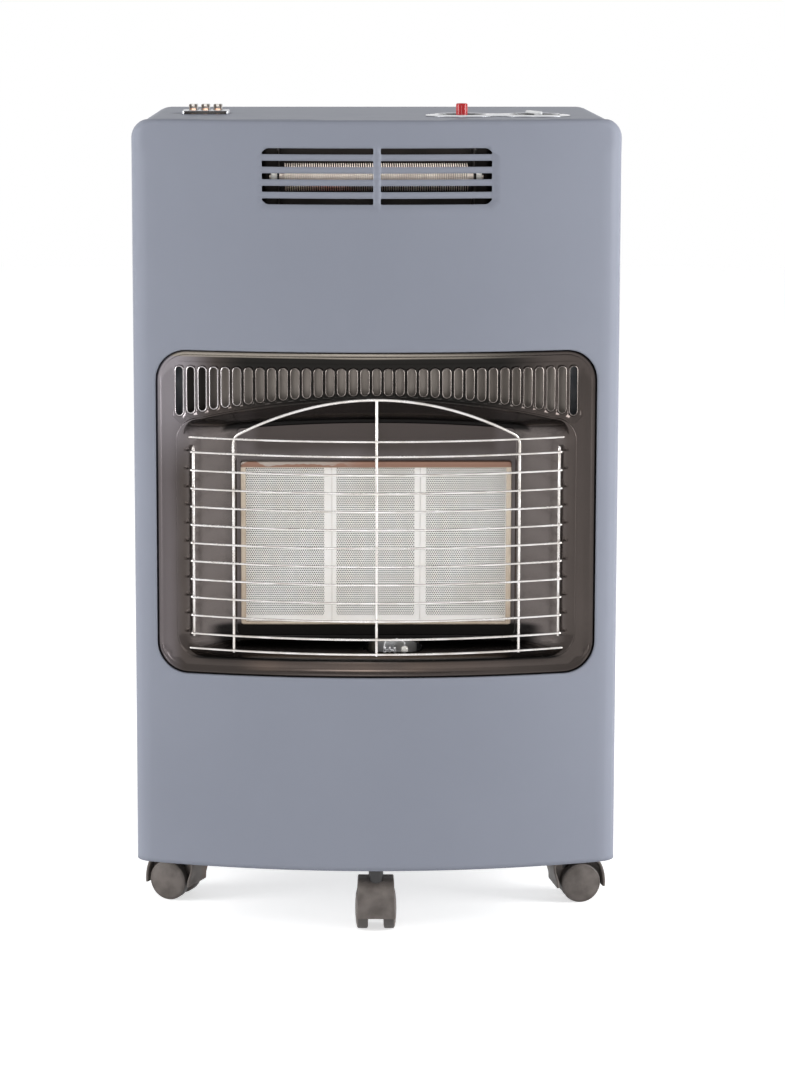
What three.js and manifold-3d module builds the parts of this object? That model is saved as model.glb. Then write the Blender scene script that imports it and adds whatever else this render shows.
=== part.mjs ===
// Portable gas cabinet heater: a bowed steel cabinet on five twin-wheel casters, with a
// three-plaque radiant burner in a pressed recess, an electric convector element behind the
// grille at the top, and a bay at the back for the gas bottle.
// Millimetres, +X to the right, +Y to the back, +Z up. The heater is drawn from the plane of
// its front corners (y = 0) with the floor at z = 0, and is centred front to back at the end.

import * as THREE from 'three';
import { mergeVertices } from 'three/addons/utils/BufferGeometryUtils.js';
import Module from 'manifold-3d';

const wasm = await Module();
wasm.setup();

// ---------------------------------------------------------------- driving dimensions

// Fits
const gap = 0.3;                  // clearance between neighbours that touch
const slip = 0.5;                 // clearance round a part that slides or turns

// Cabinet
const cabinetWidth = 420;
const cabinetTop = 709;
const cabinetBottom = 59;
const cabinetDepth = 265;         // front corners to the rear edge of the top
const bowRise = 33;               // bulge of the front ahead of its corners
const cornerRadius = 16;
const shoulderRadius = 20;        // top edges at the sides
const sheet = 1.5;                // painted steel sheet
const sideReturn = 32;            // depth of the front panel's returns along the sides
const topLip = 7;                 // depth of the front panel's lip on the top
const basePlateThickness = 2;
const bottlePadHeight = 1.5;      // step pressed up in the base, where the gas bottle stands
const bottlePadHalfWidth = 140;
const bottlePadFrontMargin = 14;  // pad behind the heat shield
const bottlePadBackMargin = 10;   // pad in front of the base's rear edge

// Grille at the top of the front panel
const grilleRowCount = 5;
const grilleDrop = 70.7;          // lowest slot's bottom below the cabinet's top
const grillePitch = 10.6;
const grilleSlotHeight = 5.2;
const grilleMullion = 6.2;        // web between the two columns
const grilleHalfWidth = 97.5;

// Window in the front panel
const windowMargin = 20;          // front panel beside the window
const windowBottom = 229.5;
const windowTop = 512.5;
const windowRadius = 27;
const windowFold = 5;             // depth of the edge turned in round the window

// Pressed surround and its recess
const pressing = 1.5;             // sheet of the surround
const landMargin = 8;             // overlap of the surround behind the window's edge
const slotCount = 35;
const slotInset = 20.5;           // end slots' middles inside the window's edge
const slotWidth = 6.2;
const slotEndRadius = 3.07;
const slotTop = 497.5;
const slotBottomMiddle = 475.6;
const slotBottomEnd = 455.5;
const recessInset = 18;           // recess's side edge inside the window's edge
const recessBottom = 244.5;
const recessCornerTop = 453;
const recessCrown = 472.4;
const recessRadius = 20;
const backY = 20;                 // plane of the recess's back wall
const backMargin = 11;            // back wall beside the plaques
const backBottom = 252;
const backCornerTop = 445;
const backCrown = 449.7;
const backRadius = 10;
const deflectorSetback = 12;      // deflector plate behind the slots
const deflectorInset = 25;        // deflector's ends inside the window's edge
const deflectorOverlap = 4;       // how far the deflector reaches below the slots

// Burner
const plaqueCount = 3;
const plaquePitch = 77;
const plaqueHeight = 140;
const plaqueThickness = 12;
const plaqueBottom = 269.3;
const burnerFrameWall = 1.8;
const burnerFrameDepth = 18;
const burnerFrameProud = 5;       // how far the frame stands in front of the back wall
const plaqueSink = 2;             // plaques behind the frame's front edge
const panDepth = 28;
const panWall = 1.5;
const throatRadius = 9;
const throatMouthRadius = 12;
const throatWall = 1.5;
const throatMouthBottom = 225;
const throatMouthHeight = 9;
const railSize = 12;
const railBottom = 200;
const railEnd = 12;               // rail beyond its outer nozzles
const nozzleRadius = 4;
const nozzleTop = 231;

// Pilot, below the floor of the recess
const pilotOpeningLeft = -9;
const pilotOpeningRight = 40;
const pilotOpeningFront = -7;
const pilotOpeningBack = 17;
const pilotOpeningRadius = 10;
const pilotX = 12;
const pilotY = 6;
const pilotShelfBottom = 236;
const pilotShelfLeft = 0;
const pilotShelfWidth = 36;
const pilotShelfFront = -4;
const pilotTabTop = 262;
const pilotBlockWidth = 12;
const pilotBlockDepth = 10;
const pilotBlockHeight = 12;
const pilotStubRadius = 3;
const pilotStubLength = 7;
const electrodeX = 25;
const electrodeRadius = 3.2;
const electrodeCollarRadius = 4.6;
const electrodeCollarHeight = 3;
const electrodeLength = 18;
const electrodeSink = 6;          // electrode below its seat on the shelf
const electrodeWireRadius = 0.8;
const electrodeWireBend = 1.6;

// Wire guard
const guardWireCount = 13;
const guardTop = 436.3;
const guardBottom = 251.3;
const guardEndGap = 13;           // between the outer two wires, top and bottom
const guardInset = 11;            // wires' ends inside the recess's edge
const guardFrontY = -35;          // middle of the guard
const guardBow = 28;
const guardWireRadius = 1.1;
const guardPostRadius = 1.4;
const guardPostInset = 3;         // end posts inside the wires' ends
const guardPostY = -2.5;
const guardLegInset = 38;         // arch's legs inside the wires' ends
const guardLegTop = 438;
const guardCrown = 472;
const guardWeld = 0.3;            // how far crossing wires sink into each other
const guardHookDrop = 9.3;        // upper hooks below the top wire
const guardHookRise = 16.7;       // lower hooks above the bottom wire
const guardHookLength = 13;
const guardHoleRadius = 1.5;

// Heat shield between burner and bottle
const shieldY = 66;
const shieldDrop = 109;           // shield's top edge below the cabinet's top
const shieldThickness = 1.2;
const shieldRibHalfWidth = 30;

// Electric element behind the grille
const elementY = 20;
const elementDrop = 50.5;         // element's axis below the cabinet's top
const finRadius = 12;
const finPackHalfLength = 79;
const elementTubeRadius = 4;
const elementHalfLength = 92;
const elementBracketX = 84;
const elementBracketThickness = 1.5;
const elementBracketDrop = 25;    // brackets' top below the cabinet's top
const reflectorHalfWidth = 105;
const reflectorBackY = 38;
const reflectorFrontY = -12;
const reflectorDrop = 80;         // reflector's underside below the cabinet's top
const reflectorThickness = 1.2;

// Controls in the top, at the right: igniter button and gas knob in one plate
const knobInset = 72;             // knob's axis from the cabinet's side
const igniterSpacing = 63;        // igniter button's axis to the knob's
const controlY = 66;
const plateRadius = 31.5;
const plateThickness = 4.7;
const wellRadius = 21.5;
const wellWall = 1.5;
const wellDepth = 12.5;
const knobRadius = 19;
const knobLift = 5.5;             // underside of the knob above the well's floor
const knobThickness = 9;
const knobTravel = 4;
const gripWidth = 7;
const gripHeight = 6.5;
const hubRadius = 7;
const hubLength = 12;
const spindleRadius = 4;
const spindleDrop = 3.5;          // spindle's top below the cabinet's top
const spindleLength = 37.5;
const valveWidth = 36;
const valveDrop = 33;             // valve's top below the cabinet's top
const valveHeight = 36;
const portOffset = 9;             // valve's outlets from its axis
const valveTowerRadius = 9;
const valveTowerHeight = 8;
const legRadius = 3;
const legOffset = 14;
const buttonRadius = 5.2;
const buttonProud = 11;           // button's top above the cabinet's top
const buttonLength = 48;
const buttonTravel = 6;
const igniterRadius = 9;
const igniterDrop = 69;           // igniter's underside below the cabinet's top
const hoseNozzleLength = 38;
const hoseNozzleDrop = 54;        // nozzle's axis below the cabinet's top
const hoseNozzleRadius = 5.5;
const hoseNozzleBore = 3;
const hoseHexRadius = 8.8;
const hoseHexLength = 9.5;
const hoseRibRadius = 6.3;
const hoseRibCount = 3;
const hoseRibStart = 19;
const hoseRibPitch = 6.3;
const hoseRibLength = 4.7;

// Heater switches in the top, at the left
const switchInset = 59.2;         // middle switch from the cabinet's side
const switchY = 113;
const switchCount = 3;
const switchPitch = 10.9;
const keyWidth = 7.4;
const keyDepth = 18;
const keyProud = 8.7;             // keys' tops above the cabinet's top
const keyLength = 25.7;
const keyTravel = 3;
const bezelWidth = 41.4;
const bezelDepth = 26;
const bezelThickness = 3;
const switchBlockWidth = 36;
const switchBlockDepth = 22;
const switchBlockHeight = 25;

// Pipes and lead inside
const burnerPipeRadius = 4;
const burnerPipeBend = 8;
const burnerPipeTurn = 18;        // height of its last bend above the rail's axis
const pilotPipeRadius = 2;
const pilotPipeBend = 6;
const pilotPipeTurn = 12;         // height of its last bend above its level run
const pilotPipeDrop = 12;         // its level run below the pilot's stub
const pilotPipeDetour = 13;       // how far it passes in front of the electrode
const leadRadius = 1.5;
const leadBend = 4.5;
const leadTurn = 12;              // height of its last bend above its level run
const leadDrop = 12;              // its level run below the rail
const leadShift = 18;             // its run down from the valve's axis
const leadShiftStart = 18;        // it starts to move over this far above the shield's edge
const leadShiftEnd = 36;          // and ends this far below it

// Back of the cabinet
const backPanelHeight = 149;
const backPanelSlotCount = 6;
const coverDepth = 105;
const coverDrop = 134;            // cover's top below the cabinet's
const coverFrontInset = 2;        // cover's front edges inside the cabinet's sides
const coverBackInset = 45;        // cover's back corners inside the cabinet's sides
const coverSlotCount = 7;
const coverSlotWidth = 60;
const coverSlotHeight = 5;
const coverSlotPitch = 14;
const coverSlotBottom = 100;
const inletInset = 60;            // gland's axis from the cabinet's side
const inletDrop = 84;             // gland's axis below the cabinet's top
const inletRadius = 9;
const inletShank = 6;

// Casters
const wheelRadius = 18;
const wheelWidth = 11.5;
const wheelSpacing = 13.6;        // between the two wheels' inner faces
const casterTrail = 12;
const hoodInnerRadius = 20;
const hoodOuterRadius = 22.5;
const hoodWebHalfWidth = 5.8;
const hoodBossRadius = 7.5;
const hoodTop = 46;
const hoodRimStart = -27;         // degrees round the axle, from straight ahead
const hoodRimEnd = 207;
const stemRadius = 5;
const axleRadius = 3;
const frontCasterY = -18;
const leftCasterInset = 40;       // from the cabinet's side
const leftCasterY = 82;
const rightCasterInset = 38.5;
const rightCasterY = 78;
const rearCasterInset = 75;
const rearCasterSetback = 65;     // behind the cabinet's back
const frontCasterTurn = 0;        // swivel as shown, in degrees
const leftCasterTurn = 65;
const rightCasterTurn = -80;
const rearLeftCasterTurn = 20;
const rearRightCasterTurn = -15;

// Facets
const bowSteps = 16;
const cornerSteps = 4;
const crownSteps = 10;
const guardSteps = 8;
const hoodSteps = 8;
const slotEndSteps = 2;
const roundSides = 16;
const wheelSides = 20;
const wellSides = 24;
const wireSides = 6;

// ---------------------------------------------------------------- worked out from them

const halfWidth = cabinetWidth / 2;
const grilleBottom = cabinetTop - grilleDrop;
const windowHalfWidth = halfWidth - windowMargin;
const slotSpan = 2 * (windowHalfWidth - slotInset);
const recessHalfWidth = windowHalfWidth - recessInset;
const backHalfWidth = (plaqueCount * plaquePitch) / 2 + backMargin;
const deflectorHalfWidth = windowHalfWidth - deflectorInset;
const guardHalfWidth = recessHalfWidth - guardInset;
const guardPostX = guardHalfWidth - guardPostInset;
const guardLegX = guardHalfWidth - guardLegInset;
const guardHookUpper = guardTop - guardHookDrop;
const guardHookLower = guardBottom + guardHookRise;
const shieldTop = cabinetTop - shieldDrop;
const elementZ = cabinetTop - elementDrop;
const elementBracketTop = cabinetTop - elementBracketDrop;
const reflectorBottom = cabinetTop - reflectorDrop;
const knobX = halfWidth - knobInset;
const igniterX = knobX - igniterSpacing;
const spindleTop = cabinetTop - spindleDrop;
const spindleBottom = spindleTop - spindleLength;
const valveTop = cabinetTop - valveDrop;
const valveBottom = valveTop - valveHeight;
const buttonTop = cabinetTop + buttonProud;
const buttonBottom = buttonTop - buttonLength;
const igniterBottom = cabinetTop - igniterDrop;
const hoseNozzleZ = cabinetTop - hoseNozzleDrop;
const switchX = switchInset - halfWidth;
const keyTop = cabinetTop + keyProud;
const keyBottom = keyTop - keyLength;
const switchBlockBottom = cabinetTop - switchBlockHeight;
const backPanelBottom = cabinetTop - backPanelHeight;
const coverTop = cabinetTop - coverDrop;
const coverFrontHalfWidth = halfWidth - coverFrontInset;
const coverBackHalfWidth = halfWidth - coverBackInset;
const inletX = inletInset - halfWidth;
const inletZ = cabinetTop - inletDrop;
const bowRadius = (halfWidth ** 2 + bowRise ** 2) / (2 * bowRise);
const bowCentreY = bowRadius - bowRise;
const landSetback = windowFold + gap;
const reach = 2 * cabinetWidth;   // length of a cutting tool that passes everything
const quarter = Math.PI / 2;

// Depth of the bowed front at x, set back square to the surface by the inset.
function bowY(x, inset) {
  return bowCentreY - Math.sqrt((bowRadius - inset) ** 2 - x ** 2);
}

// ---------------------------------------------------------------- solids

function solidOf(geometry) {
  const plain = geometry.clone();
  plain.deleteAttribute('normal');
  plain.deleteAttribute('uv');
  const merged = mergeVertices(plain, 1e-4);
  return new wasm.Manifold(new wasm.Mesh({
    numProp: 3,
    vertProperties: merged.attributes.position.array,
    triVerts: Uint32Array.from(merged.index.array),
  }));
}

function geometryOf(solid) {
  const mesh = solid.getMesh();
  const geometry = new THREE.BufferGeometry();
  geometry.setAttribute('position', new THREE.BufferAttribute(mesh.vertProperties, 3));
  geometry.setIndex(new THREE.BufferAttribute(mesh.triVerts, 1));
  geometry.computeVertexNormals();
  return geometry;
}

function join(...solids) {
  return solids.reduce((sum, next) => sum.add(next));
}

function cut(solid, ...tools) {
  return tools.reduce((rest, tool) => rest.subtract(tool), solid);
}

function repeat(count, make) {
  return Array.from({ length: count }, (_, index) => make(index));
}

// Block between two corners.
function block(x0, x1, y0, y1, z0, z1) {
  const geometry = new THREE.BoxGeometry(x1 - x0, y1 - y0, z1 - z0);
  return solidOf(geometry.translate((x0 + x1) / 2, (y0 + y1) / 2, (z0 + z1) / 2));
}

function extrusion(points, depth) {
  const shape = new THREE.Shape(points.map(([u, v]) => new THREE.Vector2(u, v)));
  return new THREE.ExtrudeGeometry(shape, { depth, bevelEnabled: false, steps: 1 });
}

// Outlines in plan (x, y), in front view (x, z) and in side view (y, z), made solid.
function planPrism(points, z0, z1) {
  return solidOf(extrusion(points, z1 - z0).translate(0, 0, z0));
}

function frontPrism(points, y0, y1) {
  return solidOf(extrusion(points, y1 - y0).rotateX(quarter).translate(0, y1, 0));
}

function sidePrism(points, x0, x1) {
  const turn = new THREE.Matrix4().makeBasis(
    new THREE.Vector3(0, 1, 0), new THREE.Vector3(0, 0, 1), new THREE.Vector3(1, 0, 0));
  return solidOf(extrusion(points, x1 - x0).applyMatrix4(turn).translate(x0, 0, 0));
}

// Round bar from one end to the other; both ends differ along one axis only.
function bar(radius, from, to, sides = roundSides) {
  const start = new THREE.Vector3(...from);
  const span = new THREE.Vector3(...to).sub(start);
  const geometry = new THREE.CylinderGeometry(radius, radius, span.length(), sides);
  geometry.translate(0, span.length() / 2, 0);
  const up = new THREE.Vector3(0, 1, 0);
  geometry.applyQuaternion(new THREE.Quaternion().setFromUnitVectors(up, span.normalize()));
  return solidOf(geometry.translate(start.x, start.y, start.z));
}

// Turned part about the z axis, from (radius, height) pairs that start and end on the axis.
function turned(profile, sides = roundSides) {
  const points = profile.map(([radius, height]) => new THREE.Vector2(radius, height));
  return solidOf(new THREE.LatheGeometry(points, sides).rotateX(quarter));
}

// Pipe of straight runs with rounded bends of one radius at the inner points.
function pipe(points, radius, bend, sides) {
  const corners = points.map(([x, y, z]) => new THREE.Vector3(x, y, z));
  const path = [corners[0]];
  corners.slice(1, -1).forEach((corner, index) => {
    const before = corners[index].clone().sub(corner).setLength(bend);
    const after = corners[index + 2].clone().sub(corner).setLength(bend);
    const curve = new THREE.QuadraticBezierCurve3(
      corner.clone().add(before), corner, corner.clone().add(after));
    path.push(...curve.getPoints(4));
  });
  path.push(corners[corners.length - 1]);
  return sweep(path, radius, sides);
}

// Wire with a section at every point.
function wire(points, radius) {
  return sweep(points.map(([x, y, z]) => new THREE.Vector3(x, y, z)), radius, wireSides);
}

// Closed tube along a path, the section carried along without twist.
function sweep(path, radius, sides) {
  const directions = path.map((point, index) => {
    const ahead = path[Math.min(index + 1, path.length - 1)];
    const behind = path[Math.max(index - 1, 0)];
    return ahead.clone().sub(behind).normalize();
  });
  const positions = [];
  const faces = [];
  let across = new THREE.Vector3(1, 0, 0);
  if (Math.abs(directions[0].x) > 0.5) across = new THREE.Vector3(0, 0, 1);
  path.forEach((point, index) => {
    const along = directions[index];
    across = across.clone().addScaledVector(along, -across.dot(along)).normalize();
    const other = along.clone().cross(across);
    repeat(sides, (side) => {
      const angle = (2 * Math.PI * side) / sides;
      const spot = point.clone()
        .addScaledVector(across, radius * Math.cos(angle))
        .addScaledVector(other, radius * Math.sin(angle));
      positions.push(spot.x, spot.y, spot.z);
    });
  });
  for (let ring = 0; ring < path.length - 1; ring += 1) {
    for (let side = 0; side < sides; side += 1) {
      const a = ring * sides + side;
      const b = ring * sides + ((side + 1) % sides);
      faces.push(a, b, b + sides, a, b + sides, a + sides);
    }
  }
  const last = (path.length - 1) * sides;
  for (let side = 1; side < sides - 1; side += 1) {
    faces.push(0, side + 1, side, last, last + side, last + side + 1);
  }
  return solidOf(indexed(positions, faces));
}

function indexed(positions, faces) {
  const geometry = new THREE.BufferGeometry();
  geometry.setAttribute('position', new THREE.Float32BufferAttribute(positions, 3));
  geometry.setIndex(faces);
  return geometry;
}

// Solid through rings of [x, y, z] points, front ring first, each counter-clockwise from the front.
function loft(rings) {
  const count = rings[0].length;
  const positions = rings.flat(2);
  const faces = [];
  for (let ring = 0; ring < rings.length - 1; ring += 1) {
    for (let index = 0; index < count; index += 1) {
      const a = ring * count + index;
      const b = ring * count + (index + 1) % count;
      faces.push(a, b + count, b, a, a + count, b + count);
    }
  }
  const last = (rings.length - 1) * count;
  for (let index = 1; index < count - 1; index += 1) {
    faces.push(0, index, index + 1, last, last + index + 1, last + index);
  }
  return solidOf(indexed(positions, faces));
}

// ---------------------------------------------------------------- outlines

function arc(centreU, centreV, radius, start, steps = cornerSteps) {
  return repeat(steps + 1, (index) => {
    const angle = start + (quarter * index) / steps;
    return [centreU + radius * Math.cos(angle), centreV + radius * Math.sin(angle)];
  });
}

function roundedBox(u0, u1, v0, v1, radius, steps = cornerSteps) {
  return [
    ...arc(u0 + radius, v0 + radius, radius, 2 * quarter, steps),
    ...arc(u1 - radius, v0 + radius, radius, 3 * quarter, steps),
    ...arc(u1 - radius, v1 - radius, radius, 0, steps),
    ...arc(u0 + radius, v1 - radius, radius, quarter, steps),
  ];
}

// Points along the bowed front from -end to +end.
function bowArc(end, inset, steps = bowSteps) {
  return repeat(steps + 1, (index) => {
    const x = end * ((2 * index) / steps - 1);
    return [x, bowY(x, inset)];
  });
}

// Plan of the cabinet: the bow, both rounded corners and straight sides to the back.
function cabinetPlan(inset, back) {
  const filletX = halfWidth - cornerRadius;
  const filletY = bowCentreY - Math.sqrt((bowRadius - cornerRadius) ** 2 - filletX ** 2);
  const turn = Math.asin(filletX / (bowRadius - cornerRadius));
  const spot = (x, y, radius, angle) => [x + radius * Math.sin(angle), y - radius * Math.cos(angle)];
  const left = repeat(cornerSteps, (index) => {
    const angle = -quarter + ((quarter - turn) * index) / cornerSteps;
    return spot(-filletX, filletY, cornerRadius - inset, angle);
  });
  const middle = repeat(bowSteps + 1, (index) => (
    spot(0, bowCentreY, bowRadius - inset, turn * ((2 * index) / bowSteps - 1))
  ));
  const right = left.map(([x, y]) => [-x, y]).reverse();
  const side = halfWidth - inset;
  return [[-side, back], ...left, ...middle, ...right, [side, back]];
}

// Front view of the cabinet: upright sides and rounded shoulders.
function cabinetFront(inset, bottom) {
  const side = halfWidth - inset;
  const radius = shoulderRadius - inset;
  const top = cabinetTop - inset;
  return [
    [-side, bottom], [side, bottom],
    ...arc(side - radius, top - radius, radius, 0),
    ...arc(radius - side, top - radius, radius, quarter),
  ];
}

// Band that follows the bowed front between two insets.
function bowBand(end, outer, inner, bottom, top) {
  return planPrism([...bowArc(end, outer), ...bowArc(end, inner).reverse()], bottom, top);
}

// Opening of the recess in front view, with a crowned top.
function recessOutline(half, bottom, cornerTop, crown, radius) {
  const flat = half - radius;
  const crownLine = repeat(crownSteps - 1, (index) => {
    const x = flat * (1 - (2 * (index + 1)) / crownSteps);
    return [x, cornerTop + (crown - cornerTop) * (1 - (x / flat) ** 2)];
  });
  return [
    ...arc(-flat, bottom + radius, radius, 2 * quarter),
    ...arc(flat, bottom + radius, radius, 3 * quarter),
    ...arc(flat, cornerTop - radius, radius, 0),
    ...crownLine,
    ...arc(-flat, cornerTop - radius, radius, quarter),
  ];
}

// ---------------------------------------------------------------- pieces and finishes

const heater = new THREE.Group();
const finishes = {
  paint: [0x8c909b, 0.4, 0.25],
  innerSteel: [0xa3a4a6, 0.45, 0.9],
  blackChrome: [0x3a3532, 0.28, 0.7],
  satinSteel: [0x9a9694, 0.35, 0.9],
  ceramic: [0xe6e1d6, 0.9, 0.0],
  burnerSteel: [0xb09a80, 0.5, 0.8],
  brass: [0xb8964e, 0.35, 0.95],
  copper: [0xb06a42, 0.35, 0.95],
  brightWire: [0xe8e8ea, 0.3, 0.6],
  darkPlastic: [0x4d4744, 0.55, 0.0],
  blackPlastic: [0x1c1a1a, 0.45, 0.0],
  silverPlastic: [0xc9cbcf, 0.3, 0.6],
  redPlastic: [0xc01a20, 0.3, 0.0],
  smokyPlastic: [0x8a7b72, 0.15, 0.2],
  rubberLead: [0x7a2a20, 0.6, 0.0],
};

function piece(parent, name, solid, finish) {
  const [color, roughness, metalness] = finishes[finish];
  const material = new THREE.MeshStandardMaterial({ color, roughness, metalness });
  const mesh = new THREE.Mesh(geometryOf(solid), material);
  mesh.name = name;
  parent.add(mesh);
  return mesh;
}

function groupAt(parent, x, y, z) {
  const group = new THREE.Group();
  group.position.set(x, y, z);
  parent.add(group);
  return group;
}

// ---------------------------------------------------------------- cabinet

// Line in plan where the front panel ends and the wrap begins.
function seamLine(inset, back) {
  const end = halfWidth - topLip - inset;
  return [[-reach, back], [-end, back], ...bowArc(end, topLip + inset), [end, back], [reach, back]];
}

function cabinetShell() {
  const solid = (inset, back, bottom) => {
    const column = planPrism(cabinetPlan(inset, back), bottom - sheet, cabinetTop + sheet);
    return column.intersect(frontPrism(cabinetFront(inset, bottom), -reach, back));
  };
  return cut(
    solid(0, cabinetDepth, cabinetBottom),
    solid(sheet, cabinetDepth + sheet, cabinetBottom - sheet),
  );
}

function windowOutline(grow) {
  return roundedBox(
    -windowHalfWidth - grow, windowHalfWidth + grow,
    windowBottom - grow, windowTop + grow, windowRadius + grow);
}

function grilleCuts() {
  return repeat(grilleRowCount, (row) => {
    const bottom = grilleBottom + row * grillePitch;
    const top = bottom + grilleSlotHeight;
    const inner = grilleMullion / 2;
    return join(
      block(-grilleHalfWidth, -inner, -reach, 0, bottom, top),
      block(inner, grilleHalfWidth, -reach, 0, bottom, top),
    );
  });
}

function frontPanel(shell) {
  const front = shell.intersect(
    planPrism([...seamLine(0, sideReturn), [reach, -reach], [-reach, -reach]], 0, 2 * cabinetTop));
  const fold = frontPrism(windowOutline(sheet), -reach, 0)
    .intersect(bowBand(halfWidth - cornerRadius, sheet / 2, windowFold, cabinetBottom, cabinetTop));
  return cut(join(front, fold), frontPrism(windowOutline(0), -reach, cornerRadius), ...grilleCuts());
}

function circlePlan(x, y, radius, sides = wellSides) {
  return repeat(sides, (index) => {
    const angle = (2 * Math.PI * index) / sides;
    return [x + radius * Math.cos(angle), y + radius * Math.sin(angle)];
  });
}

function upright(x, y, radius, z0, z1, sides) {
  return planPrism(circlePlan(x, y, radius, sides), z0, z1);
}

function cabinetWrap(shell) {
  const rear = shell.intersect(
    planPrism([...seamLine(gap, sideReturn + gap), [reach, reach], [-reach, reach]], 0, 2 * cabinetTop));
  const wellHole = wellRadius + wellWall + gap;
  const holeBottom = cabinetTop - 2 * sheet;
  const holeTop = cabinetTop + sheet;
  return cut(
    rear,
    upright(igniterX, controlY, wellHole, holeBottom, holeTop),
    upright(knobX, controlY, wellHole, holeBottom, holeTop),
    block(
      switchX - switchBlockWidth / 2 - gap, switchX + switchBlockWidth / 2 + gap,
      switchY - switchBlockDepth / 2 - gap, switchY + switchBlockDepth / 2 + gap,
      holeBottom, holeTop),
  );
}

function basePlate() {
  const inside = halfWidth - sheet - gap;
  const coverFront = cabinetDepth + gap;
  const coverBack = coverFront + coverDepth;
  const front = cabinetPlan(sheet + gap, cabinetDepth);
  const outline = [
    ...front, [inside, coverFront], [coverBackHalfWidth, coverBack],
    [-coverBackHalfWidth, coverBack], [-inside, coverFront]];
  const floor = cabinetBottom + basePlateThickness;
  const pad = block(
    -bottlePadHalfWidth, bottlePadHalfWidth,
    shieldY + bottlePadFrontMargin, coverBack - bottlePadBackMargin,
    cabinetBottom, floor + bottlePadHeight);
  return join(planPrism(outline, cabinetBottom, floor), pad);
}

function backPanel() {
  const side = halfWidth - sheet - gap;
  const back = cabinetDepth - gap;
  const front = back - sheet;
  const radius = shoulderRadius - sheet - gap;
  const top = cabinetTop - sheet - gap;
  const outline = [
    [-side, backPanelBottom], [side, backPanelBottom],
    ...arc(side - radius, top - radius, radius, 0),
    ...arc(radius - side, top - radius, radius, quarter)];
  const slots = repeat(backPanelSlotCount, (index) => {
    const low = backPanelBottom + 2 * coverSlotPitch + index * coverSlotPitch;
    return block(-coverSlotWidth, coverSlotWidth, front - sheet, back + sheet, low, low + coverSlotHeight);
  });
  const inlet = bar(inletShank + gap, [inletX, front - sheet, inletZ], [inletX, back + sheet, inletZ]);
  return cut(frontPrism(outline, front, back), ...slots, inlet);
}

// Cover of the bottle bay: tapering in plan, with a flat top and slots near the foot.
function rearCover() {
  const front = cabinetDepth + gap;
  const bottom = cabinetBottom + basePlateThickness + gap;
  const plan = (inset, from) => [
    [-coverFrontHalfWidth + inset, from], [coverFrontHalfWidth - inset, from],
    [coverBackHalfWidth - inset, front + coverDepth - inset],
    [-coverBackHalfWidth + inset, front + coverDepth - inset]];
  const shell = cut(
    planPrism(plan(0, front), bottom, coverTop),
    planPrism(plan(sheet, front - sheet), bottom - sheet, coverTop - sheet));
  const slots = repeat(coverSlotCount, (index) => {
    const low = coverSlotBottom + index * coverSlotPitch;
    const cutFront = front + coverDepth / 2;
    return join(
      block(-2 * coverSlotWidth, -coverSlotWidth / 2, cutFront, reach, low, low + coverSlotHeight),
      block(coverSlotWidth / 2, 2 * coverSlotWidth, cutFront, reach, low, low + coverSlotHeight));
  });
  return cut(shell, ...slots);
}

// Gland for the mains lead, turned about its own axis from inside the panel outwards.
function mainsInlet() {
  const panel = sheet + gap;
  return turned([
    [0, 0], [inletShank, 0], [inletShank, panel], [inletRadius, panel],
    [inletRadius, panel + inletShank], [inletShank, panel + 2 * inletShank],
    [inletShank / 2, panel + 2 * inletShank], [inletShank / 2, panel], [0, panel],
  ]);
}

// ---------------------------------------------------------------- surround and recess

function recessRings(grow, deeper) {
  const front = recessOutline(
    recessHalfWidth + grow, recessBottom - grow,
    recessCornerTop + grow, recessCrown + grow, recessRadius + grow);
  const back = recessOutline(
    backHalfWidth + grow, backBottom - grow, backCornerTop + grow, backCrown + grow, backRadius + grow);
  return [
    front.map(([x, z]) => [x, -reach, z]),
    front.map(([x, z]) => [x, bowY(x, landSetback), z]),
    back.map(([x, z]) => [x, backY + deeper, z]),
  ];
}

function slotBottomAt(x) {
  return slotBottomMiddle - (slotBottomMiddle - slotBottomEnd) * ((2 * x) / slotSpan) ** 2;
}

function surroundSlots() {
  return repeat(slotCount, (index) => {
    const x = slotSpan * (index / (slotCount - 1) - 0.5);
    const radius = slotWidth / 2;
    const outline = roundedBox(x - radius, x + radius, slotBottomAt(x), slotTop, slotEndRadius, slotEndSteps);
    return frontPrism(outline, -reach, backY);
  });
}

function burnerOutline(grow) {
  const half = (plaqueCount * plaquePitch) / 2 + grow;
  const bottom = plaqueBottom - grow;
  const top = plaqueBottom + plaqueHeight + grow;
  return [[-half, bottom], [half, bottom], [half, top], [-half, top]];
}

function guardHookSpots() {
  return [-guardPostX, guardPostX].flatMap((x) => (
    [guardHookLower, guardHookUpper].map((z) => [x, z])
  ));
}

function radiantSurround() {
  const land = frontPrism(windowOutline(landMargin), -reach, cornerRadius)
    .intersect(bowBand(halfWidth, landSetback, landSetback + pressing, 0, cabinetTop));
  const behindLand = planPrism(
    [...bowArc(halfWidth, landSetback), [halfWidth, reach], [-halfWidth, reach]], 0, cabinetTop);
  const walls = loft(recessRings(pressing, pressing)).intersect(behindLand);
  const hookHoles = guardHookSpots().map(([x, z]) => (
    bar(guardHoleRadius, [x, guardPostY, z], [x, backY, z], wireSides)));
  return cut(
    join(land, walls),
    loft(recessRings(0, 0)),
    frontPrism(burnerOutline(burnerFrameWall + gap), 0, shieldY),
    planPrism(roundedBox(
      pilotOpeningLeft, pilotOpeningRight, pilotOpeningFront, pilotOpeningBack, pilotOpeningRadius),
    pilotShelfBottom, backBottom + pressing),
    ...hookHoles,
    ...surroundSlots(),
  );
}

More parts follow.
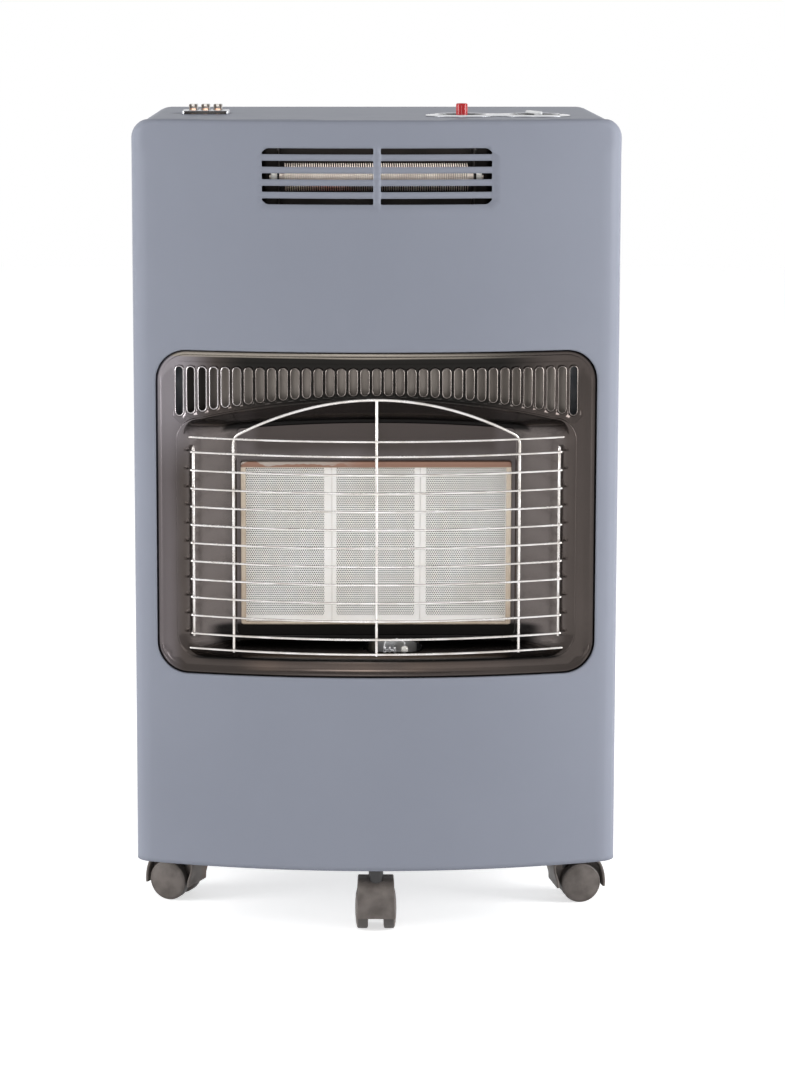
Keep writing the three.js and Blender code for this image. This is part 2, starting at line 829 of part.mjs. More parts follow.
// Plate behind the slots, with a flange at its top that meets the back of the surround.
function heatDeflector() {
  const front = landSetback + deflectorSetback;
  const edge = repeat(crownSteps + 1, (index) => {
    const x = deflectorHalfWidth * ((2 * index) / crownSteps - 1);
    return [x, slotBottomAt(x) - deflectorOverlap];
  });
  const top = slotTop + deflectorOverlap;
  const outline = [...edge, [deflectorHalfWidth, top], [-deflectorHalfWidth, top]];
  const plate = bowBand(deflectorHalfWidth, front, front + pressing, 0, cabinetTop)
    .intersect(frontPrism(outline, -reach, reach));
  const flange = bowBand(
    deflectorHalfWidth, landSetback + pressing + gap, front + pressing, top - pressing, top);
  return join(plate, flange);
}

// ---------------------------------------------------------------- burner

const frameFront = backY - burnerFrameProud;
const plaqueFront = frameFront + plaqueSink;
const panFront = plaqueFront + plaqueThickness + gap;
const panBack = panFront + panDepth;
const panMiddle = (panFront + panBack) / 2;

function burnerFrame() {
  return cut(
    frontPrism(burnerOutline(burnerFrameWall), frameFront, frameFront + burnerFrameDepth),
    frontPrism(burnerOutline(gap), frameFront - pressing, frameFront + burnerFrameDepth + pressing));
}

function plaque(index) {
  const middle = plaquePitch * (index - (plaqueCount - 1) / 2);
  const half = (plaquePitch - gap) / 2;
  return block(
    middle - half, middle + half, plaqueFront, plaqueFront + plaqueThickness,
    plaqueBottom, plaqueBottom + plaqueHeight);
}

// Pan behind the plaques, open to them, with a bell-mouthed mixing throat under each.
function burnerBody() {
  const pan = cut(
    frontPrism(burnerOutline(0), panFront, panBack),
    frontPrism(burnerOutline(-panWall), panFront - panWall, panBack - panWall));
  const middles = repeat(plaqueCount, (index) => plaquePitch * (index - (plaqueCount - 1) / 2));
  const throats = middles.map((x) => join(
    upright(x, panMiddle, throatRadius, throatMouthBottom, plaqueBottom + panWall / 2, roundSides),
    upright(
      x, panMiddle, throatMouthRadius,
      throatMouthBottom, throatMouthBottom + throatMouthHeight, roundSides)));
  const bores = middles.map((x) => join(
    upright(
      x, panMiddle, throatRadius - throatWall,
      throatMouthBottom - panWall, plaqueBottom + 2 * panWall, roundSides),
    upright(
      x, panMiddle, throatMouthRadius - throatWall,
      throatMouthBottom - panWall, throatMouthBottom + throatMouthHeight - throatWall, roundSides)));
  return cut(join(pan, ...throats), ...bores);
}

const railHalfLength = (plaquePitch * (plaqueCount - 1)) / 2 + railEnd;

function injectorRail() {
  const half = railSize / 2;
  const rail = block(
    -railHalfLength, railHalfLength, panMiddle - half, panMiddle + half, railBottom, railBottom + railSize);
  const nozzles = repeat(plaqueCount, (index) => upright(
    plaquePitch * (index - (plaqueCount - 1) / 2), panMiddle, nozzleRadius,
    railBottom + half, nozzleTop, roundSides));
  return join(rail, ...nozzles);
}

function heatShield() {
  const side = halfWidth - sheet - gap;
  const bottom = cabinetBottom + basePlateThickness + gap;
  const sheetSolid = block(-side, side, shieldY, shieldY + shieldThickness, bottom, shieldTop);
  const rail = block(
    -shieldRibHalfWidth, shieldRibHalfWidth, panMiddle + railSize / 2 + gap, shieldY + gap,
    railBottom, railBottom + railSize);
  const ribs = [plaqueBottom, plaqueBottom + plaqueHeight - railSize].map((z) => block(
    -shieldRibHalfWidth, shieldRibHalfWidth, panBack + gap, shieldY + gap, z, z + railSize));
  return join(sheetSolid, rail, ...ribs);
}

// ---------------------------------------------------------------- pilot

function pilotBracket() {
  const left = pilotShelfLeft;
  const right = left + pilotShelfWidth;
  const tabFront = backY + pressing + gap;
  const shelf = block(
    left, right, pilotShelfFront, tabFront + pressing, pilotShelfBottom, pilotShelfBottom + pressing);
  const tab = block(left, right, tabFront, tabFront + pressing, pilotShelfBottom, pilotTabTop);
  const hole = (x, radius) => upright(
    x, pilotY, radius + gap, pilotShelfBottom - pressing, pilotShelfBottom + 2 * pressing, roundSides);
  return cut(join(shelf, tab), hole(pilotX, pilotStubRadius), hole(electrodeX, electrodeRadius));
}

const pilotSeat = pilotShelfBottom + pressing + gap;

function pilotBurner() {
  const body = block(
    pilotX - pilotBlockWidth / 2, pilotX + pilotBlockWidth / 2,
    pilotY - pilotBlockDepth / 2, pilotY + pilotBlockDepth / 2,
    pilotSeat, pilotSeat + pilotBlockHeight);
  const stub = upright(
    pilotX, pilotY, pilotStubRadius, pilotSeat - pilotStubLength, pilotSeat + pilotStubRadius, roundSides);
  return join(body, stub);
}

function sparkElectrode() {
  const bottom = pilotSeat - electrodeSink;
  const top = bottom + electrodeLength;
  const body = upright(electrodeX, pilotY, electrodeRadius, bottom, top, roundSides);
  const collar = upright(
    electrodeX, pilotY, electrodeCollarRadius, pilotSeat, pilotSeat + electrodeCollarHeight, roundSides);
  const tip = pipe([
    [electrodeX, pilotY, top - electrodeRadius],
    [electrodeX, pilotY, top + electrodeRadius],
    [pilotX + pilotBlockWidth / 2, pilotY, top + electrodeRadius + pilotStubRadius],
  ], electrodeWireRadius, electrodeWireBend, wireSides);
  return join(body, collar, tip);
}

// ---------------------------------------------------------------- wire guard

// Depth of the guard's curved face at x.
function guardY(x) {
  return guardFrontY + guardBow * (x / guardHalfWidth) ** 2;
}

function guardHeights() {
  const inner = guardWireCount - 3;
  const pitch = (guardTop - guardBottom - 2 * guardEndGap) / inner;
  const middle = repeat(inner + 1, (index) => guardBottom + guardEndGap + index * pitch);
  return [guardBottom, ...middle, guardTop];
}

function guardCurve(z) {
  return repeat(guardSteps + 1, (index) => {
    const x = guardHalfWidth * ((2 * index) / guardSteps - 1);
    return [x, guardY(x), z];
  });
}

function wireGuard() {
  const heights = guardHeights();
  const set = guardWireRadius + guardPostRadius - guardWeld;
  const rows = heights.map((z, index) => {
    const loose = index === 0 || index === guardWireCount - 1;
    if (loose) return wire(guardCurve(z), guardWireRadius);
    const turnBack = (side) => [side * guardPostX, guardPostY - guardWeld, z];
    return wire([turnBack(-1), ...guardCurve(z), turnBack(1)], guardWireRadius);
  });
  const postBottom = heights[1] - 2 * guardPostRadius;
  const postTop = heights[guardWireCount - 2] + 2 * guardPostRadius;
  const posts = [-guardPostX, guardPostX].map((x) => (
    bar(guardPostRadius, [x, guardPostY, postBottom], [x, guardPostY, postTop], wireSides)));
  const legY = guardY(guardLegX) + set;
  const crownSpots = repeat(crownSteps - 1, (index) => {
    const x = guardLegX * ((2 * (index + 1)) / crownSteps - 1);
    const z = guardLegTop + (guardCrown - guardLegTop) * (1 - (x / guardLegX) ** 2);
    return [x, guardY(x) + set, z];
  });
  const footZ = guardBottom - guardPostRadius;
  const arch = wire([
    [-guardLegX, legY, footZ], [-guardLegX, legY, guardLegTop], ...crownSpots,
    [guardLegX, legY, guardLegTop], [guardLegX, legY, footZ],
  ], guardPostRadius);
  const middle = bar(
    guardPostRadius, [0, guardFrontY + set, footZ], [0, guardFrontY + set, guardCrown], wireSides);
  const hooks = guardHookSpots().map(([x, z]) => (
    bar(guardWireRadius, [x, guardPostY, z], [x, guardPostY + guardHookLength, z], wireSides)));
  return join(...rows, ...posts, arch, middle, ...hooks);
}

// ---------------------------------------------------------------- electric element

function heatingElement() {
  const tube = bar(
    elementTubeRadius, [-elementHalfLength, elementY, elementZ], [elementHalfLength, elementY, elementZ]);
  const fins = bar(
    finRadius, [-finPackHalfLength, elementY, elementZ], [finPackHalfLength, elementY, elementZ]);
  return join(tube, fins);
}

function elementBracket(x) {
  const plate = block(
    x - elementBracketThickness / 2, x + elementBracketThickness / 2,
    reflectorFrontY, reflectorBackY - gap,
    reflectorBottom + reflectorThickness + gap, elementBracketTop);
  const hole = bar(
    elementTubeRadius + gap, [x - finRadius, elementY, elementZ], [x + finRadius, elementY, elementZ]);
  return cut(plate, hole);
}

// Shelf under the element and a wall behind it that reaches up to the cabinet's top.
function elementReflector() {
  const top = cabinetTop - sheet - gap;
  const back = reflectorBackY + reflectorThickness;
  const shelf = block(
    -reflectorHalfWidth, reflectorHalfWidth, reflectorFrontY, back,
    reflectorBottom, reflectorBottom + reflectorThickness);
  const wall = block(
    -reflectorHalfWidth, reflectorHalfWidth, reflectorBackY, back, reflectorBottom, top);
  return join(shelf, wall);
}

// ---------------------------------------------------------------- controls

const wellFloor = cabinetTop - wellDepth;
const knobBottom = wellFloor + knobLift;
const knobTop = knobBottom + knobThickness;

function pairOfDiscs(radius, z0, z1) {
  return join(upright(igniterX, controlY, radius, z0, z1), upright(knobX, controlY, radius, z0, z1));
}

function controlEscutcheon() {
  const bottom = cabinetTop + gap;
  return cut(
    pairOfDiscs(plateRadius + gap, bottom, bottom + plateThickness),
    pairOfDiscs(wellRadius, bottom - plateThickness, bottom + 2 * plateThickness));
}

// Two wells joined by their floors, with legs down to the valve.
function controlBowl() {
  const outer = wellRadius + wellWall;
  const bottom = wellFloor - wellWall;
  const floor = block(igniterX, knobX, controlY - outer / 2, controlY + outer / 2, bottom, wellFloor);
  const legs = [-legOffset, legOffset].map((offset) => (
    upright(knobX + offset, controlY, legRadius, valveTop + gap, bottom + wellWall / 2, roundSides)));
  return cut(
    join(pairOfDiscs(outer, bottom, cabinetTop), floor, ...legs),
    pairOfDiscs(wellRadius, wellFloor, cabinetTop + wellDepth),
    upright(igniterX, controlY, buttonRadius + slip, bottom - wellWall, cabinetTop),
    upright(knobX, controlY, hubRadius + slip, bottom - wellWall, cabinetTop));
}

function controlKnob() {
  const disc = upright(knobX, controlY, knobRadius, knobBottom, knobTop);
  const hub = upright(knobX, controlY, hubRadius, knobBottom - hubLength, knobTop - gap, roundSides);
  const grip = block(
    knobX - gripWidth / 2, knobX + gripWidth / 2, controlY - knobRadius + gripWidth / 2,
    controlY + knobRadius - gripWidth / 2, knobTop - gap, knobTop + gripHeight);
  const bore = upright(
    knobX, controlY, spindleRadius + gap,
    knobBottom - 2 * hubLength, spindleTop + knobTravel + gap, roundSides);
  return cut(join(disc, hub, grip), bore);
}

function valveSpindle() {
  return upright(knobX, controlY, spindleRadius, spindleBottom, spindleTop, roundSides);
}

function gasValve() {
  const half = valveWidth / 2;
  const body = block(knobX - half, knobX + half, controlY - half, controlY + half, valveBottom, valveTop);
  const tower = upright(
    knobX, controlY, valveTowerRadius, valveTop - gap, valveTop + valveTowerHeight, roundSides);
  const bore = upright(
    knobX, controlY, spindleRadius + gap, spindleBottom - gap, valveTop + 2 * valveTowerHeight, roundSides);
  return cut(join(body, tower), bore);
}

// Ribbed hose tail turned from the valve outwards.
function hoseNozzle() {
  const ribs = repeat(hoseRibCount, (index) => {
    const start = hoseRibStart + index * hoseRibPitch;
    return [
      [hoseNozzleRadius, start], [hoseRibRadius, start], [hoseNozzleRadius, start + hoseRibLength]];
  }).flat();
  return turned([
    [0, 0], [hoseHexRadius, 0], [hoseHexRadius, hoseHexLength], [hoseNozzleRadius, hoseHexLength],
    ...ribs,
    [hoseNozzleRadius, hoseNozzleLength], [hoseNozzleBore, hoseNozzleLength],
    [hoseNozzleBore, hoseHexLength], [0, hoseHexLength],
  ], roundSides);
}

function igniterBody() {
  const top = wellFloor - wellWall - gap;
  return cut(
    upright(igniterX, controlY, igniterRadius, igniterBottom, top, roundSides),
    upright(
      igniterX, controlY, buttonRadius + gap,
      buttonBottom - buttonTravel - slip, cabinetTop, roundSides));
}

function igniterButton() {
  return upright(igniterX, controlY, buttonRadius, buttonBottom, buttonTop, roundSides);
}

// ---------------------------------------------------------------- heater switches

function keyMiddle(index) {
  return switchX + switchPitch * (index - (switchCount - 1) / 2);
}

function keySlot(index, z0, z1) {
  const halfX = keyWidth / 2 + gap;
  const halfY = keyDepth / 2 + gap;
  const middle = keyMiddle(index);
  return block(middle - halfX, middle + halfX, switchY - halfY, switchY + halfY, z0, z1);
}

function switchBlock() {
  const halfX = switchBlockWidth / 2;
  const halfY = switchBlockDepth / 2;
  return cut(
    block(switchX - halfX, switchX + halfX, switchY - halfY, switchY + halfY, switchBlockBottom, cabinetTop),
    ...repeat(switchCount, (index) => keySlot(index, keyBottom - keyTravel - slip, cabinetTop + slip)));
}

function switchBezel() {
  const bottom = cabinetTop + gap;
  const top = bottom + bezelThickness;
  const outline = roundedBox(
    switchX - bezelWidth / 2, switchX + bezelWidth / 2,
    switchY - bezelDepth / 2, switchY + bezelDepth / 2, bezelThickness, 2);
  return cut(
    planPrism(outline, bottom, top),
    ...repeat(switchCount, (index) => keySlot(index, cabinetTop, top + slip)));
}

function heaterSwitch(index) {
  const middle = keyMiddle(index);
  return block(
    middle - keyWidth / 2, middle + keyWidth / 2,
    switchY - keyDepth / 2, switchY + keyDepth / 2, keyBottom, keyTop);
}

// ---------------------------------------------------------------- pipes and lead

const dropY = panBack + burnerPipeRadius + gap;   // pipes come down between burner and shield
const railMiddleZ = railBottom + railSize / 2;

function burnerPipe() {
  const x = knobX + portOffset;
  const end = railHalfLength + gap;
  return pipe([
    [x, dropY, valveBottom - gap], [x, dropY, railMiddleZ + burnerPipeTurn],
    [x - burnerPipeRadius, panMiddle, railMiddleZ], [end, panMiddle, railMiddleZ],
  ], burnerPipeRadius, burnerPipeBend, wireSides);
}

function pilotPipe() {
  const x = knobX - portOffset;
  const low = pilotSeat - pilotStubLength - gap;
  const run = low - pilotPipeDrop;
  const front = pilotY - pilotPipeDetour;
  return pipe([
    [x, dropY, valveBottom - gap], [x, dropY, run + pilotPipeTurn],
    [x, panFront, run], [plaquePitch, front, run], [pilotX, front, run],
    [pilotX, pilotY, run], [pilotX, pilotY, low],
  ], pilotPipeRadius, pilotPipeBend, wireSides);
}

function ignitionLead() {
  const low = pilotSeat - electrodeSink - gap;
  const run = railBottom - leadDrop;
  const x = knobX - leadShift;
  return pipe([
    [igniterX, dropY, igniterBottom - gap], [igniterX, dropY, shieldTop + leadShiftStart],
    [x, dropY, shieldTop - leadShiftEnd], [x, dropY, run + leadTurn],
    [x, panFront, run], [plaquePitch, pilotY, run], [electrodeX, pilotY, run], [electrodeX, pilotY, low],
  ], leadRadius, leadBend, wireSides);
}

// ---------------------------------------------------------------- casters

const wheelMiddle = (wheelSpacing + wheelWidth) / 2;
const axleHalfLength = wheelSpacing / 2 + wheelWidth - gap;

// Hood over both wheels, in its own frame: stem on the z axis, axle along x behind it.
function casterHood() {
  const halfWidthOfHood = wheelSpacing / 2 + wheelWidth + gap;
  const rim = (radius) => repeat(hoodSteps + 1, (index) => {
    const turn = hoodRimStart + ((hoodRimEnd - hoodRimStart) * index) / hoodSteps;
    const angle = THREE.MathUtils.degToRad(turn);
    return [casterTrail - radius * Math.cos(angle), wheelRadius + radius * Math.sin(angle)];
  });
  const band = [...rim(hoodOuterRadius), ...rim(hoodInnerRadius).reverse()];
  const fender = sidePrism(band, -halfWidthOfHood, halfWidthOfHood);
  const web = sidePrism(rim(hoodOuterRadius - gap), -hoodWebHalfWidth, hoodWebHalfWidth);
  const boss = upright(0, 0, hoodBossRadius, wheelRadius + hoodInnerRadius / 2, hoodTop, roundSides);
  const wheelSpace = (side) => bar(
    hoodInnerRadius,
    [side * hoodWebHalfWidth, casterTrail, wheelRadius],
    [side * (halfWidthOfHood + slip), casterTrail, wheelRadius], wheelSides);
  const axleHole = bar(
    axleRadius + gap, [-wheelRadius, casterTrail, wheelRadius], [wheelRadius, casterTrail, wheelRadius]);
  const stem = upright(0, 0, stemRadius, hoodTop - gap, cabinetBottom - gap, roundSides);
  return join(cut(join(fender, web, boss), wheelSpace(-1), wheelSpace(1), axleHole), stem);
}

function casterWheel() {
  const bore = axleRadius + gap;
  return turned([
    [bore, -wheelWidth / 2], [wheelRadius, -wheelWidth / 2], [wheelRadius, wheelWidth / 2],
    [bore, wheelWidth / 2], [bore, -wheelWidth / 2],
  ], wheelSides);
}

function addCaster(parent, name, x, y, turnDegrees) {
  const caster = groupAt(parent, x, y, 0);
  caster.rotation.z = THREE.MathUtils.degToRad(turnDegrees);
  piece(caster, `${name}_hood`, casterHood(), 'darkPlastic');
  const axle = groupAt(caster, 0, casterTrail, wheelRadius);
  piece(axle, `${name}_axle`, bar(axleRadius, [-axleHalfLength, 0, 0], [axleHalfLength, 0, 0]), 'satinSteel');
  [['left', -1], ['right', 1]].forEach(([side, sign]) => {
    const wheel = piece(axle, `${name}_wheel_${side}`, casterWheel(), 'darkPlastic');
    wheel.rotation.y = quarter;
    wheel.position.x = sign * wheelMiddle;
  });
}

// ---------------------------------------------------------------- the heater

function addCabinet(parent) {
  const shell = cabinetShell();
  piece(parent, 'base_plate', basePlate(), 'innerSteel');
  piece(parent, 'front_panel', frontPanel(shell), 'paint');
  piece(parent, 'cabinet_wrap', cabinetWrap(shell), 'paint');
  piece(parent, 'back_panel', backPanel(), 'paint');
  piece(parent, 'rear_cover', rearCover(), 'paint');
  piece(parent, 'heat_shield', heatShield(), 'innerSteel');
  const inlet = piece(parent, 'mains_inlet_gland', mainsInlet(), 'blackPlastic');
  inlet.rotation.x = -quarter;
  inlet.position.set(inletX, cabinetDepth - sheet, inletZ);
}

function addBurner(parent) {
  piece(parent, 'radiant_surround', radiantSurround(), 'blackChrome');
  piece(parent, 'heat_deflector', heatDeflector(), 'satinSteel');
  piece(parent, 'burner_frame', burnerFrame(), 'burnerSteel');
  repeat(plaqueCount, (index) => piece(parent, `ceramic_plaque_${index + 1}`, plaque(index), 'ceramic'));
  piece(parent, 'burner_body', burnerBody(), 'burnerSteel');
  piece(parent, 'injector_rail', injectorRail(), 'brass');
  piece(parent, 'pilot_bracket', pilotBracket(), 'satinSteel');
  piece(parent, 'pilot_burner', pilotBurner(), 'brass');
  piece(parent, 'spark_electrode', sparkElectrode(), 'ceramic');
  piece(parent, 'wire_guard', wireGuard(), 'brightWire');
}

function addElectricHeater(parent) {
  piece(parent, 'heating_element', heatingElement(), 'satinSteel');
  piece(parent, 'element_bracket_left', elementBracket(-elementBracketX), 'innerSteel');
  piece(parent, 'element_bracket_right', elementBracket(elementBracketX), 'innerSteel');
  piece(parent, 'element_reflector', elementReflector(), 'innerSteel');
  piece(parent, 'switch_block', switchBlock(), 'blackPlastic');
  piece(parent, 'switch_bezel', switchBezel(), 'silverPlastic');
  repeat(switchCount, (index) => (
    piece(parent, `heater_switch_${index + 1}`, heaterSwitch(index), 'smokyPlastic')));
}

function addGasControls(parent) {
  piece(parent, 'control_escutcheon', controlEscutcheon(), 'silverPlastic');
  piece(parent, 'control_bowl', controlBowl(), 'blackPlastic');
  piece(parent, 'control_knob', controlKnob(), 'blackPlastic');
  piece(parent, 'valve_spindle', valveSpindle(), 'satinSteel');
  piece(parent, 'gas_valve', gasValve(), 'brass');
  const nozzle = piece(parent, 'hose_nozzle', hoseNozzle(), 'brass');
  nozzle.rotation.x = -quarter;
  nozzle.position.set(knobX, controlY + valveWidth / 2 + gap, hoseNozzleZ);
  piece(parent, 'igniter_body', igniterBody(), 'blackPlastic');
  piece(parent, 'igniter_button', igniterButton(), 'redPlastic');
  piece(parent, 'burner_pipe', burnerPipe(), 'copper');
  piece(parent, 'pilot_pipe', pilotPipe(), 'copper');
  piece(parent, 'ignition_lead', ignitionLead(), 'rubberLead');
}

addCabinet(heater);
addBurner(heater);
addElectricHeater(heater);
addGasControls(heater);
addCaster(heater, 'caster_front', 0, frontCasterY, frontCasterTurn);
addCaster(heater, 'caster_left', leftCasterInset - halfWidth, leftCasterY, leftCasterTurn);
addCaster(heater, 'caster_right', halfWidth - rightCasterInset, rightCasterY, rightCasterTurn);
addCaster(
  heater, 'caster_rear_left', rearCasterInset - halfWidth, cabinetDepth + rearCasterSetback,
  rearLeftCasterTurn);
addCaster(
  heater, 'caster_rear_right', halfWidth - rearCasterInset, cabinetDepth + rearCasterSetback,
  rearRightCasterTurn);

const extent = new THREE.Box3().setFromObject(heater);
heater.position.y = -(extent.min.y + extent.max.y) / 2;

export default heater;
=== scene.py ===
"""Looks of a portable gas cabinet heater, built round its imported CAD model.

Each sub-assembly is a class that holds its sizes in millimetres, in the cabinet's own frame: x to
the right, y to the back from the plane of the front corners, z up from the floor. A mesh is worked
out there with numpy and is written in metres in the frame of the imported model.
"""

import logging
import math
from dataclasses import dataclass, field
from enum import Enum
from typing import Any, Callable, Iterable, Sequence

import bmesh
import bpy
import numpy as np
from mathutils.geometry import delaunay_2d_cdt
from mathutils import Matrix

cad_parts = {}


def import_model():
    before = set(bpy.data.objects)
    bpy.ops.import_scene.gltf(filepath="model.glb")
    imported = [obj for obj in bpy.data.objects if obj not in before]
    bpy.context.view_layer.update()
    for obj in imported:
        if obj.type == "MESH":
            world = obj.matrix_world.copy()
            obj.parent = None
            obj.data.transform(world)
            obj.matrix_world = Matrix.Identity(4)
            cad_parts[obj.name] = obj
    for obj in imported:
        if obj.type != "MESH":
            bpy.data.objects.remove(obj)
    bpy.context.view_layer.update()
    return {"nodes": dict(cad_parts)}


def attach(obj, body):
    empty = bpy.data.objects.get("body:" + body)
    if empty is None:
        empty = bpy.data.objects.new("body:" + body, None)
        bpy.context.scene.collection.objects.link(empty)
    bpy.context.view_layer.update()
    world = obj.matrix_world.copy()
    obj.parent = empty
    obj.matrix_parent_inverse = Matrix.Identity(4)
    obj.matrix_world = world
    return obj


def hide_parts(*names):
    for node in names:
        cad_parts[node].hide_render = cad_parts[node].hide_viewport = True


LOG = logging.getLogger("heater")
MM = 0.001
CABINET_TO_ROW_Y = -167.174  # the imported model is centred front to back
TAU = 2 * math.pi
BOW_RADIUS = 0.6847


# ------------------------------------------------------------------------------ shader maths


class Wire:
    """One output of a shader node, or a number, that takes part in Python arithmetic."""

    def __init__(self, bench: "Bench", socket: Any) -> None:
        """Keeps the material's bench and the socket that carries the value."""
        self.bench = bench
        self.socket = socket

    def _math(self, operation: str, *values: Any, clamp: bool = False) -> "Wire":
        """Adds a Math node.

        Args:
            operation: the Math node's operation.
            values: the wires or numbers on its sockets, in order.
            clamp: whether the result is kept from 0 to 1.

        Returns:
            The node's result.
        """
        settings = {"operation": operation, "use_clamp": clamp}
        return self.bench.node("ShaderNodeMath", settings, dict(enumerate(values)))

    def __add__(self, other: Any) -> "Wire":
        """Sum."""
        return self._math("ADD", self, other)

    __radd__ = __add__

    def __sub__(self, other: Any) -> "Wire":
        """Difference."""
        return self._math("SUBTRACT", self, other)

    def __rsub__(self, other: Any) -> "Wire":
        """Difference, with the wire on the right."""
        return self._math("SUBTRACT", other, self)

    def __mul__(self, other: Any) -> "Wire":
        """Product."""
        return self._math("MULTIPLY", self, other)

    __rmul__ = __mul__

    def band(self, low: float, high: float) -> "Wire":
        """A smooth step that is 0 at low and 1 at high."""
        scaled = self.bench.node(
            "ShaderNodeMapRange",
            {"interpolation_type": "SMOOTHSTEP"},
            {"Value": self, "From Min": low, "From Max": high},
        )
        return scaled


class Bench:
    """Where one material's nodes are put together."""

    def __init__(self, name: str) -> None:
        """Makes the material with its Principled shader and reads the Object coordinates."""
        self.material = bpy.data.materials.new(name)
        self.material.use_nodes = True
        self.tree = self.material.node_tree
        self.shader = self.tree.nodes["Principled BSDF"]
        self.place = self.node("ShaderNodeTexCoord", {}, {}, "Object")

    def node(
        self,
        kind: str,
        settings: dict[str, Any] | None = None,
        inputs: dict[Any, Any] | None = None,
        out: Any = 0,
    ) -> Wire:
        """Adds any node.

        Args:
            kind: the node's type.
            settings: its settings, which are set first; stops sets a colour ramp.
            inputs: values or wires by socket name or number.
            out: the name or number of the output that is returned.

        Returns:
            That output.
        """
        made = self.tree.nodes.new(kind)
        for key, value in (settings or {}).items():
            if key == "stops":
                self._set_stops(made.color_ramp, value)
            else:
                setattr(made, key, value)
        for key, value in (inputs or {}).items():
            self._feed(made.inputs[key], value)
        return Wire(self, made.outputs[out])

    @staticmethod
    def _set_stops(ramp: Any, stops: Sequence[tuple[float, tuple[float, ...]]]) -> None:
        """Gives a colour ramp its stops, each a place and a colour."""
        while len(ramp.elements) < len(stops):
            ramp.elements.new(1.0)
        for element, (place, colour) in zip(ramp.elements, stops):
            element.position = place
            element.color = (*colour, 1.0)

    def _feed(self, socket: Any, value: Any) -> None:
        """Links a wire to a socket, or sets the socket's own value."""
        if isinstance(value, Wire):
            self.tree.links.new(value.socket, socket)
        else:
            socket.default_value = value

    def set(self, **values: Any) -> None:
        """Sets or links the Principled shader's sockets, named with _ for a space."""
        for key, value in values.items():
            self._feed(self.shader.inputs[key.replace("_", " ")], value)

    def noise(self, scale: float, detail: float, stretch: Sequence[float] = (1, 1, 1)) -> Wire:
        """Noise over the piece.

        Args:
            scale: spots per metre.
            detail: finer layers added.
            stretch: scale along x, y and z, so a small number draws the spots out.

        Returns:
            The noise from 0 to 1.
        """
        spot = self.node("ShaderNodeMapping", {}, {"Vector": self.place, "Scale": tuple(stretch)})
        return self.node(
            "ShaderNodeTexNoise", {}, {"Vector": spot, "Scale": scale, "Detail": detail}, "Fac"
        )

    def blend(self, factor: Any, first: Any, second: Any) -> Wire:
        """Mixes two colours by a factor."""
        return self.node(
            "ShaderNodeMix",
            {"data_type": "RGBA"},
            {0: factor, 6: first, 7: second},
            2,
        )

    def bump(self, height: Wire, depth_mm: float) -> Wire:
        """A bumped normal of that depth in millimetres."""
        return self.node(
            "ShaderNodeBump", {}, {"Height": height, "Distance": depth_mm * MM, "Strength": 1.0}
        )

    def along(self, axis: str) -> Wire:
        """The Object coordinate along x, y or z, in metres."""
        return self.node("ShaderNodeSeparateXYZ", {}, {0: self.place}, axis.upper())


def linear(colour: Sequence[float]) -> tuple[float, float, float, float]:
    """A colour written as 0 to 255 on screen, in the linear values that a shader takes."""
    share = np.asarray(colour, float) / 255
    value = np.where(share <= 0.04045, share / 12.92, ((share + 0.055) / 1.055) ** 2.4)
    return (*value.tolist(), 1.0)


# ------------------------------------------------------------------------------ finishes


class Grain(Enum):
    """Which way a finish's fine texture runs."""

    EVEN = (1.0, 1.0, 1.0)
    ACROSS = (0.03, 1.0, 1.0)
    UPRIGHT = (1.0, 1.0, 0.03)


@dataclass(frozen=True)
class Finish:
    """One surface finish: a colour that varies a little, with fine texture and broad wear."""

    name: str
    colour: tuple[float, float, float]
    tint: tuple[float, float, float] | None = None
    tint_scale: float = 12.0
    metallic: float = 0.0
    roughness: float = 0.5
    roughness_spread: float = 0.08
    wear_scale: float = 25.0
    grain: Grain = Grain.EVEN
    grain_scale: float = 900.0
    grain_mm: float = 0.01
    coat: float = 0.0
    coat_roughness: float = 0.1
    specular: float = 0.5

    def material(self) -> bpy.types.Material:
        """Builds the material, once; a tint is mixed in by a broad noise.

        Returns:
            The material.
        """
        made = bpy.data.materials.get(self.name)
        if made is not None:
            return made
        bench = Bench(self.name)
        broad = bench.noise(self.tint_scale, 4.0)
        fine = bench.noise(self.grain_scale, 2.0, self.grain.value)
        worn = bench.noise(self.wear_scale, 5.0)
        bench.set(
            Base_Color=self._colour(bench, broad),
            Metallic=self.metallic,
            Roughness=self.roughness + self.roughness_spread * 2 * (worn - 0.5)
            + self.roughness_spread * (fine - 0.5),
            Normal=bench.bump(fine, self.grain_mm),
            Coat_Weight=self.coat,
            Coat_Roughness=self.coat_roughness,
            Specular_IOR_Level=self.specular,
        )
        return bench.material

    def _colour(self, bench: Bench, broad: Wire) -> Wire:
        """The base colour: the finish's colour, towards its tint where the broad noise is high."""
        tint = self.tint or tuple(0.9 * channel for channel in self.colour)
        return bench.blend(broad.band(0.3, 0.75), linear(self.colour), linear(tint))


@dataclass(frozen=True)
class Zone:
    """A patch of another colour, where all its bands are 1.

    A band is an axis, the place in metres where it is 0 and the place where it turns 1. The axis
    |x| counts from the middle, and the axis bow is y less the rise of the bowed front there.
    """

    colour: tuple[float, float, float]
    bands: tuple[tuple[str, float, float], ...]
    wobble: float = 0.0


